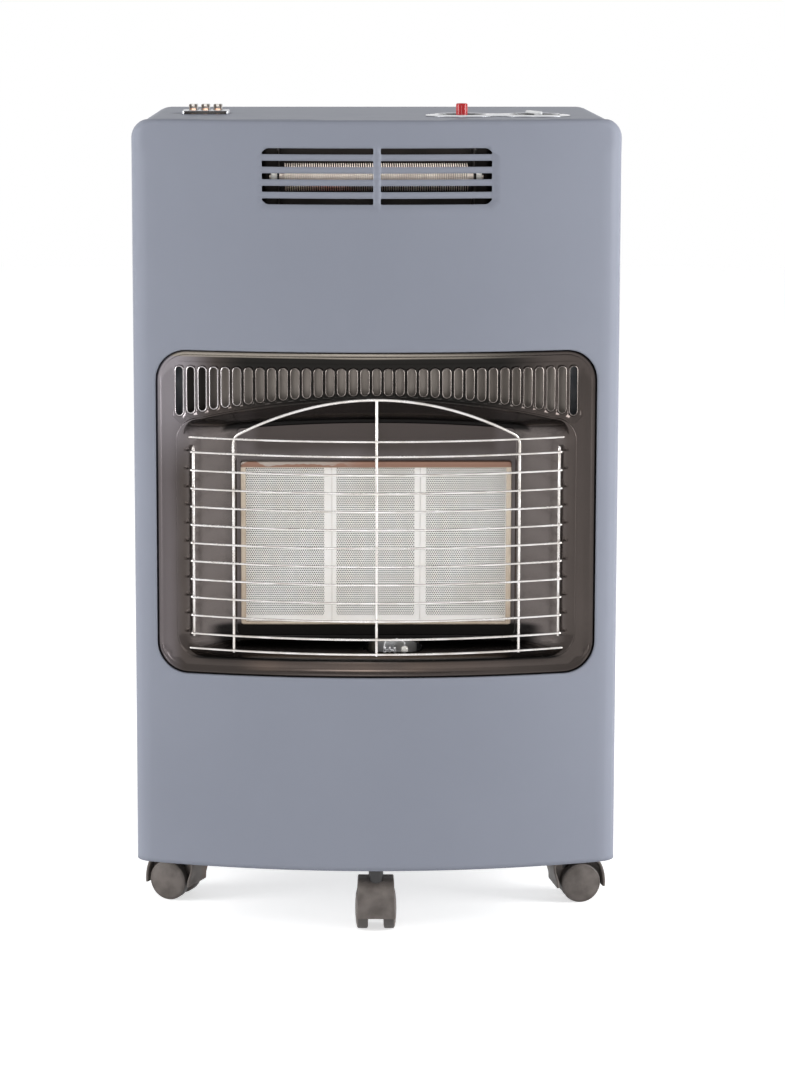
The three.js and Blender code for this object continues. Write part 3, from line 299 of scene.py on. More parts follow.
@dataclass(frozen=True)
class Zoned(Finish):
    """A finish with patches of painted light: painted shade, painted highlights and painted
    reflections.
    """

    zones: tuple[Zone, ...] = ()

    def _colour(self, bench: Bench, broad: Wire) -> Wire:
        """The plain colour with each zone's colour laid over it, its edge moved by the noise."""
        mixed = super()._colour(bench, broad)
        for zone in self.zones:
            factor: Any = 1.0
            for axis, low, high in zone.bands:
                place = self._place(bench, axis) + (broad - 0.5) * zone.wobble
                factor = place.band(low, high) * factor
            mixed = bench.blend(factor, mixed, linear(zone.colour))
        return mixed

    @staticmethod
    def _place(bench: Bench, axis: str) -> Wire:
        """A coordinate by its name; the bow's rise is x squared over twice its radius."""
        if axis == "|x|":
            return bench.node("ShaderNodeMath", {"operation": "ABSOLUTE"}, {0: bench.along("x")})
        if axis == "bow":
            across = bench.along("x")
            return bench.along("y") - across * across * (0.5 / BOW_RADIUS)
        return bench.along(axis)


PAINT = Zoned(
    "blue_grey_enamel", (140, 144, 156), (137, 141, 153), 6.0, roughness=0.42,
    roughness_spread=0.03, grain_scale=1500, grain_mm=0.003, specular=0.07,
    # painted shade: the flat top is darker than the front and sides because of how the light falls
    # on it
    zones=(Zone((124, 128, 140), (("z", 0.7078, 0.7088),)),),
)
GALVANISED = Finish(
    "galvanised_sheet", (152, 154, 158), (122, 124, 130), 60.0, metallic=0.85, roughness=0.42,
    roughness_spread=0.12, wear_scale=90,
)
DARK_ENAMEL = Zoned(
    "brown_black_enamel", (70, 63, 60), (60, 54, 51), 9.0, metallic=0.88, roughness=0.2,
    roughness_spread=0.05, grain_scale=1200, grain_mm=0.003, coat=0.1, coat_roughness=0.08,
    specular=0.3, zones=(
        # painted light: pale and dark patches of painted reflection on the land, the bead and the
        # funnel's walls, with near-black painted shade deep in the funnel and under the burner
        Zone((88, 82, 80), (("bow", -0.191, -0.183),), 0.004),
        Zone((24, 22, 20), (("|x|", 0.158, 0.105), ("z", 0.452, 0.470)), 0.02),
        Zone((90, 84, 85), (("x", -0.165, -0.180),), 0.01),
        Zone((128, 123, 127), (("x", -0.140, -0.178), ("z", 0.40, 0.475)), 0.03),
        Zone((134, 127, 118), (("z", 0.5058, 0.5072), ("x", 0.16, 0.02)), 0.002),
        Zone((40, 36, 33), (("bow", -0.190, -0.184), ("z", 0.447, 0.452)), 0.012),
        Zone((92, 84, 76), (("y", -0.1640, -0.1600), ("z", 0.436, 0.441),
                            ("|x|", 0.12, 0.08)), 0.004),
        Zone((14, 12, 11), (("y", -0.1545, -0.1515), ("z", 0.436, 0.441)), 0.001),
        Zone((14, 12, 11), (("z", 0.2705, 0.2655), ("bow", -0.178, -0.166))),
        Zone((112, 96, 86), (("|x|", 0.125, 0.085), ("z", 0.2500, 0.2470),
                             ("bow", -0.196, -0.193), ("bow", -0.180, -0.186)), 0.004),
        Zone((16, 14, 13), (("z", 0.2462, 0.2446), ("z", 0.2418, 0.2436),
                            ("|x|", 0.166, 0.150))),
    ),
)
BACK_WALL = Zoned(
    "brushed_back_wall", (96, 90, 90), (80, 74, 73), 16.0, metallic=0.9, roughness=0.34,
    grain=Grain.ACROSS, grain_scale=1300, grain_mm=0.01, zones=(
        # painted shade: near-black below the burner, and a darker patch in the upper middle under
        # the recess's top wall
        Zone((14, 12, 11), (("z", 0.2705, 0.2655),)),
        Zone((70, 64, 62), (("|x|", 0.112, 0.100), ("z", 0.414, 0.425)), 0.012),
    ),
)
SLOT_BEAD = Zoned(
    "bright_slot_bead", (126, 119, 115), (104, 97, 93), 30.0, metallic=0.9, roughness=0.2,
    # painted reflection: the beads on the left are paler
    zones=(Zone((196, 191, 192), (("x", -0.105, -0.150),), 0.02),),
)
SATIN_STEEL = Zoned(
    "satin_heated_steel", (132, 125, 119), (108, 101, 95), 10.0, metallic=0.75, roughness=0.38,
    roughness_spread=0.1, grain=Grain.UPRIGHT, grain_scale=1400, grain_mm=0.012,
    # painted shade: the deflector's left end is near-black
    zones=(Zone((38, 34, 32), (("x", -0.128, -0.150),), 0.006),),
)
BRACKET_STEEL = Finish(
    "bright_bracket_steel", (226, 226, 228), (204, 202, 200), 40.0, metallic=0.9, roughness=0.32,
    grain=Grain.UPRIGHT, grain_scale=900,
)
BURNER_STEEL = Zoned(
    "warm_burner_steel", (196, 184, 168), (158, 140, 122), 30.0, metallic=0.75, roughness=0.4,
    roughness_spread=0.1, zones=(
        # painted shade: the frame's top lip is darker brown; painted reflection: the left of that
        # lip is paler grey
        Zone((128, 98, 84), (("z", 0.4060, 0.4068),), 0.0004),
        Zone((150, 140, 132), (("z", 0.4060, 0.4068), ("x", -0.01, -0.06)), 0.03),
    ),
)
CERAMIC = Finish(
    "plaque_ceramic", (255, 253, 251), (250, 246, 240), 22.0, roughness=0.85, grain_scale=2500,
    grain_mm=0.02, specular=0.2,
)
# painted shade: the near-black floor of each hole stands for the dark inside the through-holes
HOLE_SHADE = Finish(
    "plaque_hole_shade", (38, 34, 30), (28, 25, 22), 300.0, roughness=0.9, specular=0.1,
)
# painted shade: the element's end plates are near-black because they sit in shade behind the grille
SHADE_DARK_SHEET = Finish(
    "shade_dark_sheet", (34, 31, 30), (24, 22, 21), 60.0, roughness=0.75, specular=0.08,
)
PORCELAIN = Finish(
    "white_porcelain", (238, 236, 230), (226, 220, 210), 80.0, roughness=0.25, coat=0.4,
)
GUARD_WIRE = Finish(
    "bright_plated_wire", (226, 223, 222), (196, 190, 184), 55.0, metallic=0.75, roughness=0.26,
    grain_scale=700,
)
ELEMENT_STEEL = Finish(
    "element_steel", (238, 226, 214), (206, 190, 180), 70.0, metallic=0.35, roughness=0.35,
    grain_scale=600,
)
# painted shade: the fin's side faces are a darker copy of the element's steel, the shade between
# the turns
FIN_SHADE = Finish(
    "shaded_fin_side", (70, 58, 52), (48, 40, 36), 90.0, metallic=0.5, roughness=0.5,
    grain_scale=600,
)
# painted shade: the reflector's near-black colour is the shade behind the fins; painted highlight:
# a pale stripe along its rolled front edge; painted reflections: the red-brown and pale patches on
# the shelf
REFLECTOR_STEEL = Zoned(
    "shade_dark_reflector_steel", (26, 23, 22), (20, 18, 17), 30.0, metallic=0.9, roughness=0.3,
    grain=Grain.ACROSS, zones=(
        Zone((214, 210, 204), (("y", -0.1625, -0.1665), ("x", 0.004, 0.012)), 0.002),
        Zone((150, 84, 72), (("x", -0.068, -0.056), ("x", -0.020, -0.034),
                             ("y", -0.13, -0.15)), 0.004),
        Zone((190, 184, 172), (("x", -0.050, -0.062), ("x", -0.090, -0.076),
                               ("y", -0.13, -0.15)), 0.004),
    ),
)
BRASS = Finish(
    "turned_brass", (196, 164, 92), (164, 128, 68), 70.0, metallic=0.95, roughness=0.3,
    grain=Grain.UPRIGHT, grain_scale=1000,
)
COPPER = Finish(
    "drawn_copper", (188, 122, 84), (140, 84, 58), 50.0, metallic=0.95, roughness=0.34,
)
BLACK_PLASTIC = Finish(
    "black_moulded_plastic", (34, 33, 34), (27, 26, 27), 30.0, roughness=0.4, grain_scale=2200,
    grain_mm=0.012,
)
SILVER_PLASTIC = Finish(
    "silvered_plastic", (206, 208, 212), (190, 192, 197), 40.0, metallic=0.55, roughness=0.24,
    coat=0.4,
)
WHITE_PLASTIC = Finish(
    "white_grip_plastic", (232, 234, 236), (216, 218, 220), 40.0, roughness=0.28, coat=0.3,
)
RED_PLASTIC = Finish(
    "red_button_plastic", (206, 26, 34), (180, 16, 24), 60.0, roughness=0.16, specular=0.35,
)
CASTER_PLASTIC = Zoned(
    "grey_caster_nylon", (110, 103, 99), (84, 78, 74), 70.0, roughness=0.48, roughness_spread=0.08,
    grain_scale=1800, grain_mm=0.02, specular=0.3, zones=(
        # painted shade: the rear casters, under the cabinet, are browner and darker
        Zone((98, 74, 58), (("|x|", 0.160, 0.152), ("|x|", 0.05, 0.08)), 0.004),
    ),
)
TREAD_PLASTIC = Finish(
    "dark_tread_nylon", (74, 70, 67), (60, 56, 54), 60.0, roughness=0.58, grain_scale=1600,
    grain_mm=0.03,
)
LEAD_RUBBER = Finish(
    "red_lead_insulation", (140, 34, 28), (110, 26, 24), 60.0, roughness=0.45,
)
BEZEL_PLASTIC = Zoned(
    "bezel_plastic", (214, 216, 220), (198, 200, 206), 40.0, metallic=0.3, roughness=0.25, zones=(
        # painted shade: the bezel's front wall is near-black along its foot
        Zone((30, 22, 20), (("y", -0.0660, -0.0665), ("z", 0.7119, 0.7116),
                            ("x", -0.1700, -0.1690), ("x", -0.1315, -0.1325))),
    ),
)
PLATE_BLACK = Finish(
    "satin_black_plate", (22, 22, 23), (16, 16, 17), 40.0, roughness=0.4, specular=0.06,
)


# ------------------------------------------------------------------------------ surfaces


@dataclass
class Skin:
    """Points in the cabinet's millimetres and the faces over them; -1 ends a triangle's row."""

    points: np.ndarray
    faces: np.ndarray
    finish: np.ndarray = field(default_factory=lambda: np.zeros(0, int))

    def __post_init__(self) -> None:
        """Gives every face the first finish where none is stated."""
        if len(self.finish) != len(self.faces):
            self.finish = np.zeros(len(self.faces), int)

    def __add__(self, other: "Skin") -> "Skin":
        """Both skins as one."""
        shifted = np.where(other.faces < 0, -1, other.faces + len(self.points))
        return Skin(
            np.vstack([self.points, other.points]),
            np.vstack([self.faces, shifted]),
            np.concatenate([self.finish, other.finish]),
        )

    def flipped(self) -> "Skin":
        """The same skin with its faces turned to look the other way."""
        triangle = self.faces[:, 3] < 0
        turned = self.faces[:, ::-1].copy()
        turned[triangle] = np.column_stack(
            [self.faces[triangle][:, 2::-1], np.full(triangle.sum(), -1)]
        )
        return Skin(self.points, turned, self.finish)

    def finished(self, index: int) -> "Skin":
        """The same skin with another of the piece's finishes."""
        return Skin(self.points, self.faces, np.full(len(self.faces), index))

    def moved(self, x: float = 0.0, y: float = 0.0, z: float = 0.0) -> "Skin":
        """The skin moved by that much."""
        return Skin(self.points + np.array([x, y, z]), self.faces, self.finish)

    def mapped(self, change: Callable[[np.ndarray], np.ndarray]) -> "Skin":
        """The skin with its points put through a function of an n by 3 array."""
        return Skin(change(self.points), self.faces, self.finish)

    def turned(self, degrees: float) -> "Skin":
        """The skin turned about the z axis."""
        angle = math.radians(degrees)
        cosine, sine = math.cos(angle), math.sin(angle)
        turn = np.array([[cosine, -sine, 0], [sine, cosine, 0], [0, 0, 1]])
        return Skin(self.points @ turn.T, self.faces, self.finish)


def grid(points: np.ndarray, close_rows: bool = False, close_columns: bool = False) -> Skin:
    """Quads over a grid of points: corner (i, j) joins (i, j+1), (i+1, j+1) and (i+1, j).

    Args:
        points: rows by columns by 3.
        close_rows: whether the last row joins the first.
        close_columns: whether the last column joins the first.

    Returns:
        The skin.
    """
    rows, columns = points.shape[:2]
    i, j = np.meshgrid(
        np.arange(rows - (not close_rows)), np.arange(columns - (not close_columns)), indexing="ij"
    )
    i, j = i.ravel(), j.ravel()
    down, right = (i + 1) % rows, (j + 1) % columns
    faces = beside(i * columns + j, i * columns + right, down * columns + right, down * columns + j)
    return Skin(points.reshape(-1, 3).astype(float), faces)


def beside(*parts: Any) -> np.ndarray:
    """Arrays as columns side by side; a number stands for a column that holds it throughout."""
    return np.stack(np.broadcast_arrays(*parts), axis=-1)


def wrapped(rings: Any) -> Skin:
    """The skin over a stack of closed loops with the same count of points."""
    return grid(np.stack(rings), close_columns=True)


def fan(loop: np.ndarray, flip: bool = False) -> Skin:
    """Triangles from the middle of a convex loop of points to its edges."""
    count = len(loop)
    ring = np.arange(count)
    faces = beside(ring, (ring + 1) % count, count, -1)
    skin = Skin(np.vstack([loop, loop.mean(0)]), faces)
    return skin.flipped() if flip else skin


def add(skins: Iterable[Skin]) -> Skin:
    """Several skins as one."""
    parts = list(skins)
    total = parts[0]
    for part in parts[1:]:
        total = total + part
    return total


def rounded_rectangle(half_x: float, half_y: float, radius: float, steps: int = 6) -> np.ndarray:
    """Loop of a rectangle with round corners: four quarter circles joined, counterclockwise."""
    radius = max(min(radius, half_x, half_y), 1e-3)
    angle = np.linspace(0, TAU / 4, steps + 1)
    quarters = [
        (half_x - radius, half_y - radius, 0.0),
        (radius - half_x, half_y - radius, TAU / 4),
        (radius - half_x, radius - half_y, 2.0 * TAU / 4),
        (half_x - radius, radius - half_y, 3.0 * TAU / 4),
    ]
    return np.vstack([
        beside(x + radius * np.cos(angle + turn), y + radius * np.sin(angle + turn))
        for x, y, turn in quarters
    ])


def circle(radius: float, sides: int = 48) -> np.ndarray:
    """Loop of a circle, counterclockwise."""
    angle = np.arange(sides) * TAU / sides
    return radius * beside(np.cos(angle), np.sin(angle))


def at_depth(loop: np.ndarray, y: Any) -> np.ndarray:
    """A loop in x and z as points at one depth, or at a depth of their own each."""
    return beside(loop[:, 0], y, loop[:, 1])


def rectangle(left: float, right: float, low: float, high: float, radius: float) -> np.ndarray:
    """Loop of a rectangle in x and z between its edges, with small round corners."""
    loop = rounded_rectangle((right - left) / 2, (high - low) / 2, radius, 4)
    return loop + np.array([(left + right) / 2, (low + high) / 2])


def upright(loop: np.ndarray, z: float) -> np.ndarray:
    """A plan loop put at one height."""
    return np.column_stack([loop, np.full(len(loop), z)])


def slab(
    loop: Callable[[float], np.ndarray], low: float, high: float, bevel: float, steps: int = 3
) -> Skin:
    """A solid on a plan loop with rounded top and bottom edges.

    The wall is the loop carried up; at each end the loop is set in by bevel times one less the
    cosine while it rises by bevel times the sine, a quarter circle.

    Args:
        loop: gives the plan loop set in by a distance, always with the same count of points.
        low: height of the underside.
        high: height of the top.
        bevel: radius of the rounded edges.
        steps: rings in each rounded edge.

    Returns:
        The closed skin.
    """
    angle = np.linspace(0, TAU / 4, steps + 1)
    inset = bevel * (1 - np.cos(angle))
    rise = bevel * np.sin(angle)
    rings = [(d, low + bevel - r) for d, r in zip(inset[::-1], rise[::-1])]
    rings += [(d, high - bevel + r) for d, r in zip(inset, rise)]
    rows = np.stack([upright(loop(d), z) for d, z in rings])
    return wrapped(rows) + fan(rows[-1]) + fan(rows[0], flip=True)


def round_block(
    half_x: float, half_y: float, low: float, high: float, corner: float, bevel: float
) -> Skin:
    """A block about the origin with round corners in plan and rounded top and bottom edges."""
    return slab(
        lambda inset: rounded_rectangle(half_x - inset, half_y - inset, corner - inset * 0.5, 4),
        low, high, bevel,
    )


def swap(skin: Skin, order: tuple[int, int, int], signs: tuple[int, int, int]) -> Skin:
    """The skin with its axes taken in another order and sign; a mirrored one is turned back."""
    changed = Skin(skin.points[:, order] * np.array(signs), skin.faces, skin.finish)
    even = order in ((0, 1, 2), (1, 2, 0), (2, 0, 1))
    return changed if (math.prod(signs) > 0) == even else changed.flipped()


def standing(skin: Skin) -> Skin:
    """A skin made in plan stood on edge, so that its heights run to the front."""
    return swap(skin, (0, 2, 1), (1, 1, 1))


def lying(skin: Skin) -> Skin:
    """A skin made upright laid down, so that its heights run along x."""
    return swap(skin, (2, 0, 1), (1, 1, 1))


def revolve(profile: Sequence[tuple[float, float]], sides: int = 48) -> Skin:
    """A profile of radius and height turned about the z axis: x and y are the radius times the
    cosine and sine of the turn.

    Args:
        profile: radius and height, in order along the outside from the lowest point up.
        sides: steps of the turn.

    Returns:
        The skin, facing away from the axis.
    """
    outline = np.asarray(profile, float)
    turn = np.arange(sides) * TAU / sides
    rows = np.stack([
        outline[:, :1] * np.cos(turn), outline[:, :1] * np.sin(turn),
        np.repeat(outline[:, 1:], sides, axis=1),
    ], axis=2)
    return wrapped(rows)


def softened(points: Sequence[Sequence[float]], radius: float, steps: int = 5) -> np.ndarray:
    """A line of points with each inner corner replaced by a quadratic curve of that reach.

    Args:
        points: corners of the line.
        radius: how far from the corner the curve starts and ends, at most.
        steps: segments of each curve.

    Returns:
        The smooth line.
    """
    line = np.asarray(points, float)
    out = [line[:1]]
    share = np.linspace(0, 1, steps + 1)[:, None]
    for before, corner, after in zip(line[:-2], line[1:-1], line[2:]):
        reach_in = min(radius, 0.49 * np.linalg.norm(corner - before))
        reach_out = min(radius, 0.49 * np.linalg.norm(after - corner))
        start = corner + (before - corner) / np.linalg.norm(before - corner) * reach_in
        end = corner + (after - corner) / np.linalg.norm(after - corner) * reach_out
        out.append((1 - share) ** 2 * start + 2 * share * (1 - share) * corner + share**2 * end)
    return np.vstack([*out, line[-1:]])


def tube(
    path: np.ndarray, radius: float | np.ndarray, sides: int = 10, up: Sequence[float] = (0, 0, 1),
    dome: bool = True,
) -> Skin:
    """A round bar along a line.

    At each point the ring is radius times (cosine of the turn times the side direction plus sine
    times the third), where the side direction is up crossed with the line's own direction.

    Args:
        path: points of the line; no stretch of it runs along up.
        radius: the bar's radius, or one for each point.
        sides: sides of the bar.
        up: direction that the ring is set square to.
        dome: whether the ends are rounded; otherwise they are flat.

    Returns:
        The closed skin.
    """
    line = np.asarray(path, float)
    ahead = np.gradient(line, axis=0)
    ahead /= np.linalg.norm(ahead, axis=1, keepdims=True)
    radii = np.broadcast_to(np.asarray(radius, float), (len(line),))
    if dome:
        angle = np.linspace(0, TAU / 4, 4)[1:]
        start = line[0] - ahead[0] * (radii[0] * np.sin(angle[::-1]))[:, None]
        end = line[-1] + ahead[-1] * (radii[-1] * np.sin(angle))[:, None]
        line = np.vstack([start, line, end])
        ahead = np.vstack([np.repeat(ahead[:1], 3, 0), ahead, np.repeat(ahead[-1:], 3, 0)])
        radii = np.concatenate([
            radii[0] * np.cos(angle[::-1]), radii, radii[-1] * np.cos(angle)
        ])
    side = np.cross(np.asarray(up, float), ahead)
    side /= np.linalg.norm(side, axis=1, keepdims=True)
    third = np.cross(ahead, side)
    turn = np.arange(sides) * TAU / sides
    rings = line[:, None] + radii[:, None, None] * (
        np.cos(turn)[None, :, None] * side[:, None] + np.sin(turn)[None, :, None] * third[:, None]
    )
    skin = wrapped(rings)
    if not dome:
        skin = skin + fan(rings[-1]) + fan(rings[0], flip=True)
    return skin


def inside(points: np.ndarray, loop: np.ndarray) -> np.ndarray:
    """Whether each point of the plane lies in a loop, by the even-odd rule."""
    start, end = loop, np.roll(loop, -1, axis=0)
    x, y = points[:, :1], points[:, 1:]
    crosses = (start[:, 1] > y) != (end[:, 1] > y)
    rise = np.where(end[:, 1] == start[:, 1], 1e-12, end[:, 1] - start[:, 1])
    at = start[:, 0] + (y - start[:, 1]) * (end[:, 0] - start[:, 0]) / rise
    return (np.sum(crosses & (x < at), axis=1) % 2) == 1


def filled(outline: np.ndarray, holes: Sequence[np.ndarray], spacing: float) -> Skin:
    """Triangles over a plane outline with holes, with points on a grid inside it.

    The grid's points lie spacing apart and at least a third of that from every edge point, and a
    constrained Delaunay triangulation joins them.

    Args:
        outline: outer loop.
        holes: inner loops.
        spacing: distance between the inner points.

    Returns:
        A skin in the plane z = 0, facing up.
    """
    loops = [outline, *holes]
    low, high = outline.min(0), outline.max(0)
    x, y = np.meshgrid(
        np.arange(low[0] + spacing / 2, high[0], spacing),
        np.arange(low[1] + spacing / 2, high[1], spacing),
    )
    spots = beside(x.ravel(), y.ravel())
    keep = inside(spots, outline)
    for hole in holes:
        keep &= ~inside(spots, hole)
    spots = spots[keep]
    rim = np.vstack(loops)
    nearest = np.full(len(spots), np.inf)
    for part in np.array_split(rim, max(1, len(rim) // 64)):
        distance = ((spots[:, None] - part[None]) ** 2).sum(2).min(1)
        nearest = np.minimum(nearest, distance)
    spots = spots[nearest > (0.34 * spacing) ** 2]
    starts = np.cumsum([0, *[len(loop) for loop in loops]])
    edges = [
        (int(first + k), int(first + (k + 1) % len(loop)))
        for first, loop in zip(starts, loops)
        for k in range(len(loop))
    ]
    found = delaunay_2d_cdt(np.vstack([rim, spots]).tolist(), edges, [], 0, 1e-7)
    flat = np.array([tuple(point) for point in found[0]])
    triangles = np.array(found[2])
    middle = flat[triangles].mean(1)
    kept = inside(middle, outline)
    for hole in holes:
        kept &= ~inside(middle, hole)
    triangles = triangles[kept]
    a, b, c = (flat[triangles[:, k]] for k in range(3))
    area = (b[:, 0] - a[:, 0]) * (c[:, 1] - a[:, 1]) - (b[:, 1] - a[:, 1]) * (c[:, 0] - a[:, 0])
    triangles[area < 0] = triangles[area < 0][:, ::-1]
    faces = np.column_stack([triangles, np.full(len(triangles), -1)])
    return Skin(np.column_stack([flat, np.zeros(len(flat))]), faces)


def pattern(across: np.ndarray, low: float, high: float, rise: np.ndarray) -> np.ndarray:
    """Outline of a sheet's flat pattern: along its foot, up, back along its head and down."""
    return np.vstack([
        beside(across, low), beside(across[-1], rise),
        beside(across[::-1], high), beside(across[0], rise[::-1]),
    ])


def in_scene(name: str, data: Any) -> bpy.types.Object:
    """Makes an object of a mesh, a lamp or a camera and puts it into the scene."""
    made = bpy.data.objects.new(name, data)
    bpy.context.scene.collection.objects.link(made)
    return made


class Bench3D:
    """Turns skins into finished objects of the scene."""

    @staticmethod
    def piece(
        name: str,
        skin: Skin,
        finishes: Sequence[Finish],
        body: str = "cabinet",
        replaces: Sequence[str] = (),
        slot: str = "",
        smooth: float = 35.0,
        weld: bool = True,
        sheet: float = 0.0,
    ) -> bpy.types.Object:
        """Makes one piece.

        Args:
            name: the piece's name.
            skin: its surface, in the cabinet's millimetres.
            finishes: its finishes, which the skin's faces number.
            body: the body it rides on.
            replaces: CAD nodes that it stands for.
            slot: not used.
            smooth: edges sharper than this many degrees stay sharp; 0 leaves every face flat.
            weld: whether points that meet are joined.
            sheet: thickness in millimetres that the skin is given, inwards.

        Returns:
            The object.
        """
        points = (skin.points + np.array([0.0, CABINET_TO_ROW_Y, 0.0])) * MM
        sizes = np.where(skin.faces[:, 3] < 0, 3, 4)
        loops = skin.faces[skin.faces >= 0]
        mesh = bpy.data.meshes.new(name)
        mesh.vertices.add(len(points))
        mesh.vertices.foreach_set("co", points.astype(np.float32).ravel())
        mesh.loops.add(len(loops))
        mesh.loops.foreach_set("vertex_index", loops.astype(np.int32))
        mesh.polygons.add(len(sizes))
        starts = np.concatenate([[0], np.cumsum(sizes)[:-1]]).astype(np.int32)
        mesh.polygons.foreach_set("loop_start", starts)
        mesh.update(calc_edges=True)
        for finish in finishes:
            mesh.materials.append(finish.material())
        mesh.polygons.foreach_set("material_index", skin.finish.astype(np.int32))
        if weld:
            work = bmesh.new()
            work.from_mesh(mesh)
            bmesh.ops.remove_doubles(work, verts=work.verts, dist=0.004 * MM)
            work.to_mesh(mesh)
            work.free()
        mesh.validate()
        if smooth > 0:
            mesh.shade_smooth()
            mesh.set_sharp_from_angle(angle=math.radians(smooth))
        else:
            mesh.shade_flat()
        made = in_scene(name, mesh)
        if sheet:
            wall = made.modifiers.new("sheet", "SOLIDIFY")
            wall.thickness = sheet * MM
            wall.offset = -1.0
        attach(made, body)
        if replaces:
            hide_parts(*replaces)
        LOG.info("%s: %d faces on %s", name, len(mesh.polygons), body)
        return made

    @staticmethod
    def dress(nodes: dict[str, bpy.types.Object], finish: Finish, *names: str) -> None:
        """Gives carried-over CAD nodes a finish on their own slots."""
        for name in names:
            target = nodes[name]
            for slot_index in range(max(1, len(target.material_slots))):
                if target.material_slots:
                    target.material_slots[slot_index].material = finish.material()
                else:
                    target.data.materials.append(finish.material())
            LOG.info("%s: %s on the CAD solid", name, finish.name)


# ------------------------------------------------------------------------------ cabinet


